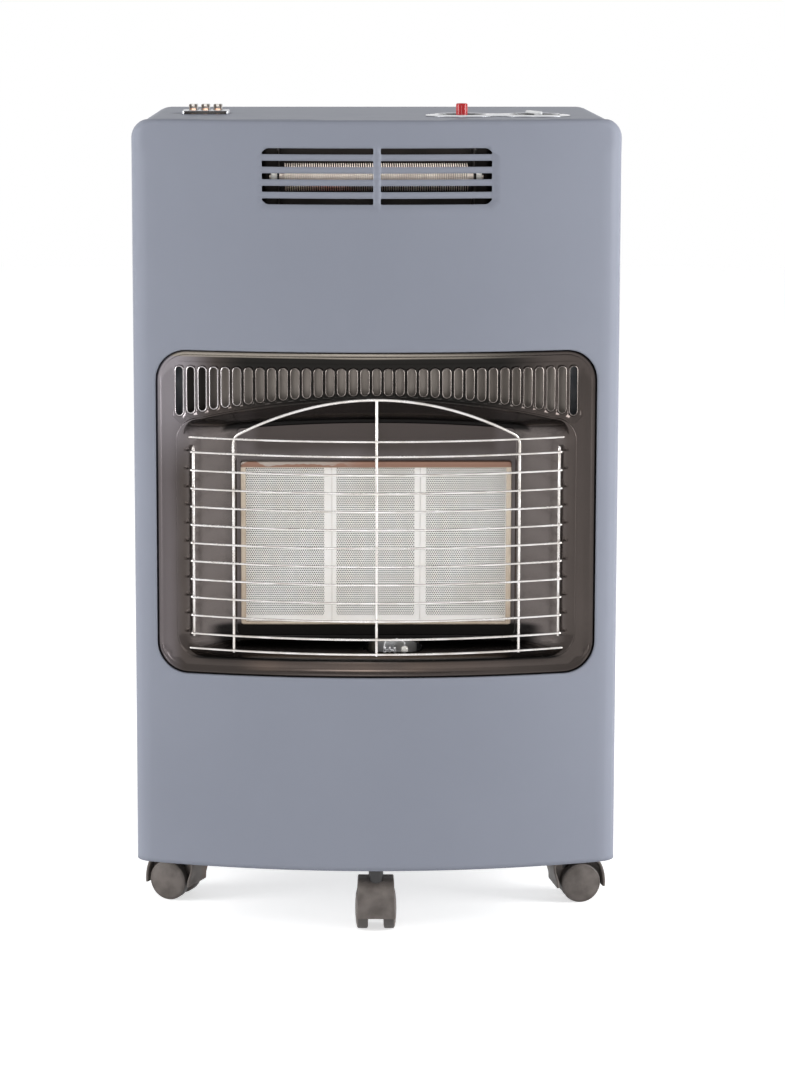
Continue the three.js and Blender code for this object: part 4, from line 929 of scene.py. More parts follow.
@dataclass
class Cabinet:
    """The painted cabinet: bowed front with its window and grille, wrap, back and rear cover."""

    width: float = 420.0
    top: float = 709.0
    bottom: float = 59.0
    depth: float = 265.0
    bow_rise: float = 33.0
    corner: float = 16.0
    shoulder: float = 20.0
    crease: float = 4.0
    side_return: float = 32.0
    lip: float = 7.0
    sheet: float = 1.2
    fold: float = 5.0
    fold_bend: float = 1.6
    window: tuple[float, float, float, float] = (190.0, 229.5, 512.5, 27.0)
    grille_rows: int = 5
    grille_bottom: float = 638.3
    grille_pitch: float = 10.6
    grille_height: float = 5.2
    grille_half: float = 97.5
    grille_mullion: float = 6.2
    well_hole: float = 23.3
    switch_hole: tuple[float, float] = (18.3, 11.3)
    cover_depth: float = 105.0
    cover_top: float = 575.0
    cover_halves: tuple[float, float] = (208.0, 165.0)
    cover_edge: float = 5.0
    louvre: tuple[float, float, float] = (2.5, 2.4, 14.0)
    cover_louvres: tuple[float, float, float, int] = (42.0, 76.0, 102.5, 7)
    back_louvres: tuple[float, float, float, int] = (60.0, 0.0, 590.5, 6)
    inlet: tuple[float, float, float] = (6.3, -150.0, 625.0)
    seam: float = 0.35

    @property
    def half(self) -> float:
        """Half the width."""
        return self.width / 2

    @property
    def bow(self) -> float:
        """Radius of the bowed front, from its chord and its rise."""
        return (self.half**2 + self.bow_rise**2) / (2 * self.bow_rise)

    def bow_y(self, x: Any, inset: float = 0.0) -> Any:
        """Depth of the bowed front at x, set back by the inset: a circle about the bow's centre."""
        return self.bow - self.bow_rise - np.sqrt((self.bow - inset) ** 2 - np.square(x))

    def on_bow(self, loop: np.ndarray, inset: float) -> np.ndarray:
        """A loop in x and z laid on the bowed front, set back by the inset."""
        return at_depth(loop, self.bow_y(loop[:, 0], inset))

    def _turns(self) -> tuple[float, float, float]:
        """Half angle of the bow, and the lengths of half the bow and of one corner's arc."""
        angle = math.asin((self.half - self.corner) / (self.bow - self.corner))
        return angle, self.bow * angle, self.corner * (TAU / 4 - angle)

    def plan(self, s: np.ndarray, inset: Any = 0.0) -> tuple[np.ndarray, np.ndarray]:
        """The cabinet's outline in plan by length along it from the middle of the front.

        First the bow's circle, then the corner's circle tangent to it, then the straight side. The
        outward direction turns with the circles.

        Args:
            s: lengths along the outline, negative to the left.
            inset: distance inwards.

        Returns:
            x and y of each point.
        """
        angle, bow_length, arc_length = self._turns()
        side = np.sign(s) + (s == 0)
        run = np.abs(s)
        turn = np.where(
            run < bow_length, run / self.bow,
            np.minimum(angle + (run - bow_length) / self.corner, TAU / 4),
        )
        centre_x = self.half - self.corner
        centre_y = self.bow - self.bow_rise - math.sqrt(
            (self.bow - self.corner) ** 2 - centre_x**2
        )
        x = np.where(
            run < bow_length, (self.bow - inset) * np.sin(turn),
            centre_x + (self.corner - inset) * np.sin(turn),
        )
        y = np.where(
            run < bow_length, self.bow - self.bow_rise - (self.bow - inset) * np.cos(turn),
            centre_y - (self.corner - inset) * np.cos(turn),
        )
        y = y + np.maximum(run - bow_length - arc_length, 0.0)
        return side * x, y

    def end_length(self, y: float) -> float:
        """Length along the outline at which the side reaches that depth."""
        _, bow_length, arc_length = self._turns()
        _, corner_y = self.plan(np.array([bow_length + arc_length]))
        return bow_length + arc_length + y - float(corner_y[0])

    def along_bow(self, x: Any) -> Any:
        """Length along the bow of a point of the front at x."""
        return self.bow * np.arcsin(np.asarray(x, float) / self.bow)

    def _edge_radius(self, s: np.ndarray) -> np.ndarray:
        """Radius of the top edge: tight along the front, growing round the corner to the side's."""
        _, bow_length, arc_length = self._turns()
        run = np.abs(s)
        share = np.clip((run - bow_length * 0.93) / (arc_length + bow_length * 0.07), 0, 1)
        grown = self.crease + (self.corner - self.crease) * share**2 * (3 - 2 * share)
        later = np.clip((run - bow_length - arc_length) / 14.0, 0, 1)
        return grown + (self.shoulder - self.corner) * later

    def window_loop(self, grow: float, steps: int = 10) -> np.ndarray:
        """The window's outline in x and z, grown by a distance, with points along its edges."""
        half, low, high, radius = self.window
        loop = rounded_rectangle(
            half + grow, (high - low) / 2 + grow, max(radius + grow, 1.0), steps
        )
        loop = loop + np.array([0.0, (high + low) / 2])
        return densified(loop, 7.0)

    def grille_loops(self) -> list[np.ndarray]:
        """The ten grille slots' outlines in x and z; the outer corners of the end rows are cut."""
        loops = []
        inner = self.grille_mullion / 2
        for row in range(self.grille_rows):
            low = self.grille_bottom + row * self.grille_pitch
            high = low + self.grille_height
            for side in (-1, 1):
                middle = side * (inner + self.grille_half) / 2
                half = (self.grille_half - inner) / 2
                loop = densified(rounded_rectangle(half, self.grille_height / 2, 0.9, 3), 2.5)
                outer = side * loop[:, 0] > half - 4.0
                slant = np.clip((side * loop[:, 0] - (half - 4.0)) / 4.0, 0, 1) * 3.4
                if row == 0:
                    loop[:, 1] = np.where(
                        outer & (loop[:, 1] < 0), np.minimum(loop[:, 1] + slant, 1.6), loop[:, 1]
                    )
                if row == self.grille_rows - 1:
                    loop[:, 1] = np.where(
                        outer & (loop[:, 1] > 0), np.maximum(loop[:, 1] - slant, -1.6), loop[:, 1]
                    )
                loops.append(loop + np.array([middle, (low + high) / 2]))
        return loops

    def front_skin(self) -> Skin:
        """The front panel: flat pattern over its length and height, bent to the plan's outline.

        The window and the slots are holes of the pattern. Above it the sheet rolls back through a
        quarter circle into the lip on the top, and round the window it turns in through another.

        Returns:
            The skin, facing out.
        """
        reach = self.end_length(self.side_return)
        stops = np.linspace(-reach, reach, 181)
        edge = self.top - self.shoulder - 0.5
        rise = np.arange(self.bottom + 8, edge - 3, 8.0)
        outline = pattern(stops, self.bottom, edge, rise)
        holes = [self.window_loop(self.fold_bend), *self.grille_loops()]
        holes = [beside(self.along_bow(h[:, 0]), h[:, 1]) for h in holes]
        flat = filled(outline, holes, 8.0)
        x, y = self.plan(flat.points[:, 0])
        sheet = Skin(beside(x, y, flat.points[:, 1]), flat.faces)
        radius = self._edge_radius(stops)

        def rolled(inset: Any, turned: np.ndarray) -> np.ndarray:
            """A row of the roll at an inset, as high as the circle is that far in."""
            bent = np.arccos(np.clip(1 - turned / radius, -1, 1))
            return beside(*self.plan(stops, inset), self.top - radius + radius * np.sin(bent))

        rows = [beside(*self.plan(stops), edge)]
        for phi in np.linspace(0, TAU / 4, 9):
            inset = np.minimum(radius * (1 - math.cos(phi)), self.lip)
            rows.append(rolled(inset, inset))
        rows.append(rolled(self.lip, np.minimum(radius, self.lip)))
        rings = [
            self.on_bow(
                self.window_loop(self.fold_bend * (1 - math.sin(phi))),
                self.fold_bend * (1 - math.cos(phi)),
            )
            for phi in np.linspace(0, TAU / 4, 6)
        ]
        rings.append(self.on_bow(self.window_loop(0.0), self.fold))
        return sheet + grid(np.stack(rows)) + wrapped(rings)

    def wrap_skin(self) -> Skin:
        """The wrap: sides and top. A section of side, quarter circle and flat runs to the back.

        Returns:
            The skin, facing out.
        """
        inner = self.half - self.shoulder
        angle = np.linspace(0, TAU / 4, 10)
        lip = self.lip + self.seam
        x_arc = inner + self.shoulder * np.cos(angle)
        z_arc = self.top - self.shoulder + self.shoulder * np.sin(angle)
        spans, middle = 34, self.bottom + 300
        share = np.linspace(0, 1, spans)
        section_x = np.concatenate([[self.half] * 2, x_arc])
        section_z = np.concatenate([[self.bottom, middle], z_arc])
        first = np.where(
            (section_x < self.half - lip) & (section_z > middle),
            self.bow_y(np.minimum(section_x, self.half - lip), lip), self.side_return + self.seam,
        )
        rows_y = first[:, None] + (self.depth - first[:, None]) * share[None, :]
        side = np.stack([
            np.repeat(section_x[:, None], spans, 1), rows_y, np.repeat(section_z[:, None], spans, 1)
        ], axis=2)
        right = grid(side)
        left = swap(right, (0, 1, 2), (-1, 1, 1))
        front_x = np.linspace(-inner, inner, 61)
        right_y = rows_y[-1][1:]
        outline = np.vstack([
            beside(front_x, self.bow_y(front_x, lip)), beside(inner, right_y),
            beside(np.linspace(inner, -inner, 41)[1:], self.depth),
            beside(-inner, right_y[::-1][1:]),
        ])
        holes = [
            circle(self.well_hole) + np.array([GasControls.igniter_x, GasControls.y]),
            circle(self.well_hole) + np.array([GasControls.knob_x, GasControls.y]),
            rounded_rectangle(*self.switch_hole, 0.5, 2)
            + np.array([HeaterSwitches.x, HeaterSwitches.y]),
        ]
        return right + left + filled(outline, holes, 14.0).moved(z=self.top)

    def cover_skin(self) -> Skin:
        """The rear cover: a plan that tapers to the back with round corners, carried up, closed on
        top with a rounded edge, with two columns of slots in its back as holes.

        Returns:
            The skin, facing out.
        """
        front = self.depth + 0.3
        wide, narrow = self.cover_halves
        back = front + self.cover_depth
        corners = upright(
            np.array([[wide, front], [narrow, back], [-narrow, back], [-wide, front]]), 0.0
        )
        plan = densified(softened(corners, 14.0, 6)[:, :2], 9.0, closed=False)
        steps = np.diff(plan, axis=0)
        length = np.concatenate([[0.0], np.cumsum(np.hypot(*steps.T))])
        normal = np.gradient(plan, axis=0)
        normal = beside(-normal[:, 1], normal[:, 0])
        normal /= np.linalg.norm(normal, axis=1, keepdims=True)
        low, edge = self.bottom + 2.4, self.cover_top - self.cover_edge
        rise = np.arange(low + 10, edge - 4, 10.0)
        outline = pattern(length, low, edge, rise)
        half, gap, first, count = self.cover_louvres
        holes = [
            hole for side in (-1, 1)
            for hole in self.louvres(half, length[-1] / 2 + side * gap, first, count)
        ]
        flat = filled(outline, holes, 10.0)

        def bent(points: np.ndarray) -> np.ndarray:
            """Carries the flat pattern's length round the plan."""
            x = np.interp(points[:, 0], length, plan[:, 0])
            y = np.interp(points[:, 0], length, plan[:, 1])
            return beside(x, y, points[:, 1])

        rows = []
        for phi in np.linspace(0, TAU / 4, 6):
            inner = plan + normal * self.cover_edge * (1 - math.cos(phi))
            inner[:, 1] = np.maximum(inner[:, 1], front)
            rows.append(upright(inner, edge + self.cover_edge * math.sin(phi)))
        roof = filled(rows[-1][:, :2], [], 18.0).moved(z=self.cover_top)
        return flat.mapped(bent) + grid(np.stack(rows)) + roof

    def louvres(self, half: float, x: float, z: float, count: int) -> list[np.ndarray]:
        """A column of level slots with round ends: half their length, the lowest's place, count."""
        half_height, radius, pitch = self.louvre
        slot = densified(rounded_rectangle(half, half_height, radius, 3), 8.0)
        return [slot + np.array([x, z + row * pitch]) for row in range(count)]

    def back_skin(self) -> Skin:
        """The back panel above the cover: a flat sheet with six slots and the inlet's hole."""
        half, top = self.half - 1.9, self.top - 1.9
        radius = self.shoulder - 1.8
        corner = rounded_rectangle(half, (top - 560.0) / 2, radius, 6)
        corner = corner + np.array([0.0, (top + 560.0) / 2])
        corner[corner[:, 1] < 600.0, 0] = np.sign(corner[corner[:, 1] < 600.0, 0]) * half
        corner[corner[:, 1] < 580.0, 1] = 560.0
        outline = densified(corner[np.r_[True, np.any(np.diff(corner, axis=0) != 0, axis=1)]], 12.0)
        holes = self.louvres(*self.back_louvres)
        radius, *place = self.inlet
        holes.append(circle(radius, 24) + np.array(place))
        flat = filled(outline, holes, 16.0)
        return standing(flat).moved(y=self.depth - 0.3)

    def screws(self) -> Skin:
        """Pan-head screws: cover to cabinet at its sides, and along the back panel's foot."""
        head = revolve([(0.02, 1.9), (1.6, 1.75), (2.7, 1.1), (3.1, 0.0)][::-1], 16)
        back = standing(head)
        spots = [(x, self.depth - 0.3, z) for x in (-195.0, 195.0) for z in (600.0, 660.0)]
        spots += [(x, self.depth - 0.3, 698.0) for x in (-120.0, 0.0, 120.0)]
        return add(back.moved(*spot) for spot in spots)

    def build(self, nodes: dict[str, bpy.types.Object]) -> None:
        """Makes the cabinet's pieces and finishes its CAD solids."""
        for solid, skin, body, smooth in (
            ("front_panel", self.front_skin(), "cabinet", 50),
            ("cabinet_wrap", self.wrap_skin(), "cabinet", 50),
            ("rear_cover", self.cover_skin(), "rear_cover", 50),
            ("back_panel", self.back_skin(), "cabinet", 35),
        ):
            Bench3D.piece(
                f"{solid}_skin", skin, [PAINT], body, [solid], "cabinet_paint", smooth,
                sheet=self.sheet,
            )
        Bench3D.piece("back_screws", self.screws(), [GALVANISED], slot="inner_steel")
        Bench3D.dress(nodes, GALVANISED, "base_plate", "heat_shield")
        Bench3D.dress(nodes, BLACK_PLASTIC, "mains_inlet_gland")


def densified(loop: np.ndarray, spacing: float, closed: bool = True) -> np.ndarray:
    """A line with points added so that none lies further than spacing from the next."""
    line = np.vstack([loop, loop[:1]]) if closed else loop
    step = np.hypot(*np.diff(line, axis=0).T)
    counts = np.maximum(1, np.ceil(step / spacing)).astype(int)
    parts = [
        start + (end - start) * (np.arange(count) / count)[:, None]
        for start, end, count in zip(line[:-1], line[1:], counts)
    ]
    return np.vstack(parts) if closed else np.vstack([*parts, line[-1:]])


# ------------------------------------------------------------------------------ recess


@dataclass
class Recess:
    """The pressed surround: a bowed land with its slots, and a funnel to the flat back wall."""

    cabinet: Cabinet = field(default_factory=Cabinet)
    setback: float = 5.3
    bead: float = 2.6
    bead_width: float = 5.4
    slots: int = 35
    slot_span: float = 339.0
    slot_half: float = 3.1
    slot_top: float = 497.5
    slot_bottoms: tuple[float, float] = (475.6, 455.5)
    slot_bead: float = 0.9
    opening: tuple[float, float, float, float, float] = (172.0, 244.5, 453.0, 472.4, 20.0)
    back: tuple[float, float, float, float, float] = (126.5, 252.0, 445.0, 449.7, 10.0)
    back_y: float = 20.0
    brim: float = 1.2
    bends: tuple[float, float] = (0.10, 0.16)
    burner: tuple[float, float, float] = (117.6, 267.2, 411.4)
    pilot: tuple[float, float, float, float] = (-9.0, 40.0, -7.0, 17.0)
    hooks: tuple[float, float, float] = (158.0, 268.0, 427.0)
    floor_steps: int = 30

    def outline(self, sizes: Sequence[float], grow: float = 0.0) -> np.ndarray:
        """An opening in x and z: a straight foot and sides, round corners and a crowned top.

        The crown is the corner's height plus its rise times one less x over the flat, squared.
        The same count of points comes back for every opening, the foot's first.

        Args:
            sizes: half width, bottom, height at the corners, height of the crown, radius.
            grow: distance outwards.

        Returns:
            The loop, counterclockwise as the front is seen.
        """
        half, low, corner, crown, radius = sizes
        half, low, corner, crown, radius = (
            half + grow, low - grow, corner + grow, crown + grow, radius + grow
        )
        flat = half - radius
        foot = np.linspace(-flat, flat, self.floor_steps + 1)
        angle = np.linspace(0, TAU / 4, 9)[1:]
        side = np.linspace(0, 1, 18)[1:]
        top = np.linspace(flat, -flat, 61)[1:]
        right = [
            beside(flat + radius * np.sin(angle), low + radius * (1 - np.cos(angle))),
            beside(half, low + radius + (corner - low - 2 * radius) * side),
            beside(flat + radius * np.cos(angle), corner - radius + radius * np.sin(angle)),
        ]
        left = [part[::-1] * np.array([-1.0, 1.0]) for part in right[::-1]]
        crowned = beside(top, corner + (crown - corner) * (1 - (top / flat) ** 2))
        left[0] = left[0][1:]
        return np.vstack([beside(foot, low), *right, crowned, *left])

    def on_land(self, loop: np.ndarray, deeper: Any = 0.0) -> np.ndarray:
        """A loop in x and z laid on the bowed land, or behind it."""
        return at_depth(loop, self.cabinet.bow_y(loop[:, 0], self.setback) + deeper)

    def _levels(self) -> tuple[np.ndarray, np.ndarray]:
        """The funnel's rings as weights of four loops: brim, opening, back edge and back wall.

        Both bends are quadratic curves, with the straight wall between them.

        Returns:
            The rings' places from 0 to 1, and their weights.
        """
        share = np.linspace(0, 1, 6)[:, None]
        first, last = self.bends
        brim, opening, edge, wall = np.eye(4)
        start = opening + (edge - opening) * first
        front = (1 - share) ** 2 * brim + 2 * share * (1 - share) * opening + share**2 * start
        stop = edge + (opening - edge) * last
        rear = (1 - share) ** 2 * stop + 2 * share * (1 - share) * edge + share**2 * wall
        middle = start + (stop - start) * np.linspace(0, 1, 10)[1:-1, None]
        weights = np.vstack([front, middle, rear])
        return np.linspace(0, 1, len(weights)), weights

    def _loops(self, foot: np.ndarray | None = None) -> np.ndarray:
        """The funnel's four loops, or the same at places from 0 to 1 along the foot alone."""
        loops = []
        for sizes, grow, flat_wall in (
            (self.opening, self.brim, False), (self.opening, 0.0, False),
            (self.back, 0.0, True), (self.back, -5.0, True),
        ):
            loop = self.outline(sizes, grow)
            if foot is not None:
                ends = loop[[0, self.floor_steps]]
                loop = ends[0] + (ends[1] - ends[0]) * foot[:, None]
            loops.append(at_depth(loop, self.back_y) if flat_wall else self.on_land(loop))
        return np.stack(loops)

    def floor_point(self, across: np.ndarray, level: np.ndarray) -> np.ndarray:
        """Points of the funnel's floor: the ring weights at the level times the foot's loops."""
        places, weights = self._levels()
        share = np.stack([np.interp(level, places, weights[:, k]) for k in range(4)])
        return np.einsum("kn,knc->nc", share, self._loops(across))

    def floor(self) -> Skin:
        """The funnel's floor with the pilot's opening, laid out by places across and levels.

        The opening's loop is known in plan; its places and levels are found by repeated steps
        towards it.

        Returns:
            The skin, facing up.
        """
        left, right, front, back = self.pilot
        loop = rounded_rectangle((right - left) / 2, (back - front) / 2, 10.0, 6)
        loop = densified(loop + np.array([(left + right) / 2, (front + back) / 2]), 3.0)
        width, depth = 270.0, 50.0
        across, level = 0.5 + loop[:, 0] / width, np.full(len(loop), 0.5)
        for _ in range(60):
            point = self.floor_point(across, level)
            across = across + (loop[:, 0] - point[:, 0]) / width * 0.8
            level = np.clip(level + (loop[:, 1] - point[:, 1]) / depth * 0.6, 0.0, 1.0)
        places, _ = self._levels()
        steps = np.linspace(0, 1, self.floor_steps + 1)
        size = np.array([260.0, 60.0])
        outline = np.vstack([
            beside(steps, 0.0),
            beside(1.0, places[1:]),
            beside(steps[::-1][1:], 1.0),
            beside(0.0, places[::-1][1:-1]),
        ])
        flat = filled(outline * size, [beside(across, level) * size], 4.0)
        return flat.mapped(lambda p: self.floor_point(p[:, 0] / size[0], p[:, 1] / size[1]))

    def funnel(self) -> Skin:
        """The funnel: rings from the land to the back wall; its floor is laid out apart."""
        _, weights = self._levels()
        rings = np.einsum("rk,knc->rnc", weights, self._loops())
        count = rings.shape[1]
        walls = np.concatenate([rings[:, self.floor_steps:], rings[:, :1]], axis=1)
        LOG.info("funnel of %d rings and %d columns", len(rings), count)
        return grid(walls).flipped() + self.floor()

    def slot_loop(self, index: int, grow: float = 0.0) -> np.ndarray:
        """Outline of one slot: a stadium whose foot follows a parabola across the row."""
        x = self.slot_span * (index / (self.slots - 1) - 0.5)
        middle, end = self.slot_bottoms
        low = middle - (middle - end) * (2 * x / self.slot_span) ** 2
        half = self.slot_half + grow
        loop = rounded_rectangle(half, (self.slot_top - low) / 2 + grow, half, 5)
        return densified(loop + np.array([x, (self.slot_top + low) / 2]), 8.0)

    def land(self) -> Skin:
        """The land: a rolled bead inside the window, and the field with the slots' holes."""
        profile = [
            (7.0, 0.0), (0.6, 0.0), (-0.35, -0.7), (-1.2, -self.bead * 0.85),
            (-2.4, -self.bead), (-3.6, -self.bead * 0.8), (-4.6, -0.6), (-self.bead_width, 0.0),
        ]
        rings = [self.on_land(self.cabinet.window_loop(grow), deeper) for grow, deeper in profile]
        edge = self.cabinet.window_loop(-self.bead_width)
        holes = [densified(self.outline(self.opening, self.brim), 20.0)]
        holes += [self.slot_loop(k, self.slot_bead) for k in range(self.slots)]
        field_skin = filled(edge, holes, 6.0)
        return wrapped(rings) + field_skin.mapped(
            lambda p: self.on_land(p[:, :2])
        )

    def slot_beads(self) -> Skin:
        """The slots' raised rims: rings that rise from the land and turn in at the hole."""
        profile = [
            (self.slot_bead, 0.0), (0.62, -0.4), (0.3, -0.5), (0.06, -0.28), (0.0, 0.3), (0.0, 1.5)
        ]
        skins = []
        for index in range(self.slots):
            base = self.slot_loop(index, self.slot_bead)
            inner = self.slot_loop(index, 0.0)
            rings = []
            for grow, deeper in profile:
                share = grow / self.slot_bead
                loop = base * share + inner * (1 - share) if len(base) == len(inner) else base
                rings.append(self.on_land(loop, deeper))
            skins.append(wrapped(rings))
        return add(skins)

    def back_wall(self) -> Skin:
        """The flat back wall round the burner."""
        half, low, high = self.burner
        hole = np.array([[-half, low], [half, low], [half, high], [-half, high]])
        flat = filled(self.outline(self.back, -5.0), [densified(hole, 8.0)], 9.0)
        return standing(flat).moved(y=self.back_y)

    def hook_hole_shade_discs(self) -> Skin:
        """The four holes that the guard's hooks go through, as black discs on the side walls:
        painted shade that stands for the dark inside each hole.
        """
        x, *heights = self.hooks
        front, rear = self.opening[0], self.back[0]
        share = (front - x) / (front - rear)
        front_y = float(self.cabinet.bow_y(front, self.setback))
        y = front_y + (self.back_y - front_y) * share
        lean = math.degrees(math.atan2(self.back_y - front_y, front - rear))
        disc = fan(upright(circle(3.3, 28), 0.0)).mapped(lambda p: p * np.array([0.72, 1.0, 1.0]))
        facing = swap(disc, (0, 2, 1), (1, -1, 1))
        spots = []
        for side in (-1, 1):
            for z in heights:
                spots.append(facing.turned(side * -lean).moved(side * (x - 0.2), y - 0.3, z))
        return add(spots)

    def build(self, nodes: dict[str, bpy.types.Object]) -> None:
        """Makes the surround's pieces and finishes the deflector."""
        Bench3D.piece(
            "surround_pressing", self.land() + self.funnel(), [DARK_ENAMEL],
            replaces=["radiant_surround"], slot="dark_chrome", smooth=60, sheet=0.9,
        )
        Bench3D.piece(
            "surround_back_wall", self.back_wall(), [BACK_WALL], slot="dark_chrome", smooth=0,
            sheet=0.9,
        )
        Bench3D.piece("slot_beads", self.slot_beads(), [SLOT_BEAD], slot="dark_chrome", smooth=60)
        Bench3D.piece("hook_hole_shade_discs", self.hook_hole_shade_discs(), [PLATE_BLACK], slot="dark_chrome")
        Bench3D.dress(nodes, SATIN_STEEL, "heat_deflector")


# ------------------------------------------------------------------------------ burner


@dataclass
class Burner:
    """The radiant burner: three perforated plaques in a steel frame, and the pilot below them."""

    frame_half: float = 117.3
    frame_low: float = 267.5
    frame_high: float = 411.1
    frame_front: float = 15.0
    frame_back: float = 33.0
    lip: tuple[float, float, float] = (3.2, 1.5, 4.6)
    plaque_pitch: float = 77.0
    plaque_half: float = 38.35
    plaque_front: float = 17.0
    plaque_back: float = 29.0
    plaque_heights: tuple[float, float] = (269.3, 409.3)
    windows: tuple[tuple[float, float], ...] = ((-113.6, -45.2), (-34.5, 33.5), (43.6, 113.0))
    window_heights: tuple[float, float] = (275.0, 406.0)
    hole_pitch: float = 1.9
    hole_radius: float = 0.68
    hole_depth: float = 1.2
    proud: float = 0.15
    pilot: tuple[float, float] = (12.0, 6.0)
    electrode: tuple[float, float] = (25.0, 6.0)
    shelf: tuple[float, float, float, float] = (0.0, 36.0, 236.0, 237.5)

    def sleeve(self) -> Skin:
        """The frame: a sleeve round the plaques whose front edge turns in over their rims."""
        side, foot, head = self.lip
        half, low, high = self.frame_half, self.frame_low, self.frame_high

        def ring(shrink: float, y: float) -> np.ndarray:
            """The sleeve's outline shrunk by a distance, at one depth."""
            return at_depth(
                rectangle(-half + shrink, half - shrink, low + shrink, high - shrink, 1.6), y
            )

        mouth = rectangle(-half + side, half - side, low + foot, high - head, 1.0)
        front = self.frame_front
        return wrapped([
            ring(0.0, self.frame_back), ring(0.0, front + 0.8), ring(0.25, front + 0.2),
            ring(0.8, front), at_depth(mouth, front), at_depth(mouth, self.plaque_front),
        ]).flipped()

    def holes(self, window: tuple[float, float]) -> Skin:
        """The perforated field: six-sided cells on a staggered lattice, each with its hole.

        A cell is a ring of six quads round the hole, six walls going in and a floor of near-black
        painted shade that stands for the dark inside the hole.
        Rows lie half the square root of three of the pitch apart and every other row is moved by
        half.

        Args:
            window: left and right edges of the field.

        Returns:
            The skin, facing the front; the floors take the second finish, the painted shade.
        """
        pitch, low, high = self.hole_pitch, *self.window_heights
        rise = pitch * math.sqrt(3) / 2
        columns = np.arange(window[0], window[1] + pitch * 0.6, pitch)
        rows = np.arange(low, high + rise * 0.6, rise)
        x, z = np.meshgrid(columns, rows)
        x = x + np.where(np.arange(len(rows)) % 2, pitch / 2, 0.0)[:, None]
        centres = beside(x.ravel(), z.ravel())
        turn = (np.arange(6) + 0.5) * TAU / 6
        around = beside(np.cos(turn), np.sin(turn))
        rings = np.vstack([
            upright(around * pitch / math.sqrt(3), 0.0), upright(around * self.hole_radius, 0.0),
            upright(around * self.hole_radius, self.hole_depth),
        ])
        points = rings[None, :, :].repeat(len(centres), 0)
        points[:, :, :2] += centres[:, None]
        k, n = np.arange(6), (np.arange(6) + 1) % 6
        cell = np.vstack([
            beside(k, n, n + 6, k + 6), beside(k + 6, n + 6, n + 12, k + 12),
            [[12, 13, 14, 15], [12, 15, 16, 17]],
        ])
        faces = (cell[None] + 18 * np.arange(len(centres))[:, None, None]).reshape(-1, 4)
        # the floors' finish is the painted shade
        finish = np.tile(np.r_[np.zeros(12, int), 1, 1], len(centres))
        flat = points.reshape(-1, 3)
        placed = beside(flat[:, 0], flat[:, 2] + self.plaque_front, flat[:, 1])
        return Skin(placed, faces, finish)

    def plaque(self, index: int) -> Skin:
        """One ceramic plaque: the perforated field, the smooth rim in front of it, its sides."""
        middle = (index - 1) * self.plaque_pitch
        low, high = self.plaque_heights
        window = self.windows[index]
        front = self.plaque_front - self.proud
        outline = rounded_rectangle(self.plaque_half, (high - low) / 2, 1.2, 3)
        outline = outline + np.array([middle, (low + high) / 2])
        opening = rectangle(*window, *self.window_heights, 1.2)
        rim = standing(filled(densified(outline, 8.0), [densified(opening, 8.0)], 6.0))
        edge = wrapped([at_depth(opening, y) for y in (front, self.plaque_front + 0.1)])
        sides = wrapped([at_depth(outline, y) for y in (self.plaque_back, front)])
        return self.holes(window) + rim.moved(y=front) + edge.flipped() + sides.flipped()

    def bracket(self) -> Skin:
        """The pilot's bracket: a shelf with rounded edges and the tab that holds it to the wall."""
        left, right, low, high = self.shelf
        middle, half = (left + right) / 2, (right - left) / 2
        shelf = round_block(half, 13.6, low, high, 2.0, 0.5)
        tab = swap(round_block(half, 13.0, 0.0, 1.5, 3.0, 0.5), (0, 2, 1), (1, 1, 1))
        return shelf.moved(middle, 9.65) + tab.moved(middle, 21.8, 249.0)

    def pilot_block(self) -> Skin:
        """The pilot burner: a block with a flame hood of three bars, and its stub below."""
        x, y = self.pilot
        block = round_block(6.0, 5.0, 237.8, 246.0, 1.2, 0.7)
        bars = add(
            round_block(0.8, 4.6, 245.5, 249.8, 0.6, 0.5).moved(side * 4.2) for side in (-1, 0, 1)
        )
        stub = revolve([(0.01, 231.0), (2.6, 231.0), (3.0, 231.6), (3.0, 238.0)], 20)
        bent = np.array([[-4.5, -1.0, 239.0], [-5.8, -1.5, 246.0], [-3.6, -1.5, 254.5]])
        probe = tube(bent, 0.8, 8, (0, 1, 0))
        return (block + bars + stub + probe).moved(x, y)

    def spark(self) -> Skin:
        """The electrode: a porcelain rod with a collar and a domed head, and its bent wire."""
        x, y = self.electrode
        bent = softened([[0, 0, 247.0], [0, 0, 253.0], [-7.0, 0, 256.0]], 1.6)
        wire = tube(bent, 0.8, 8, (0, 1, 0))
        return wire.finished(1).moved(x, y) + revolve([
            (0.01, 231.5), (2.6, 231.5), (3.2, 232.4), (3.2, 237.4), (4.5, 237.6), (4.6, 238.4),
            (4.6, 240.0), (4.2, 240.5), (3.2, 240.8), (3.2, 246.6), (2.9, 248.2), (2.1, 249.2),
            (0.9, 249.7), (0.01, 249.8),
        ], 28).moved(x, y)

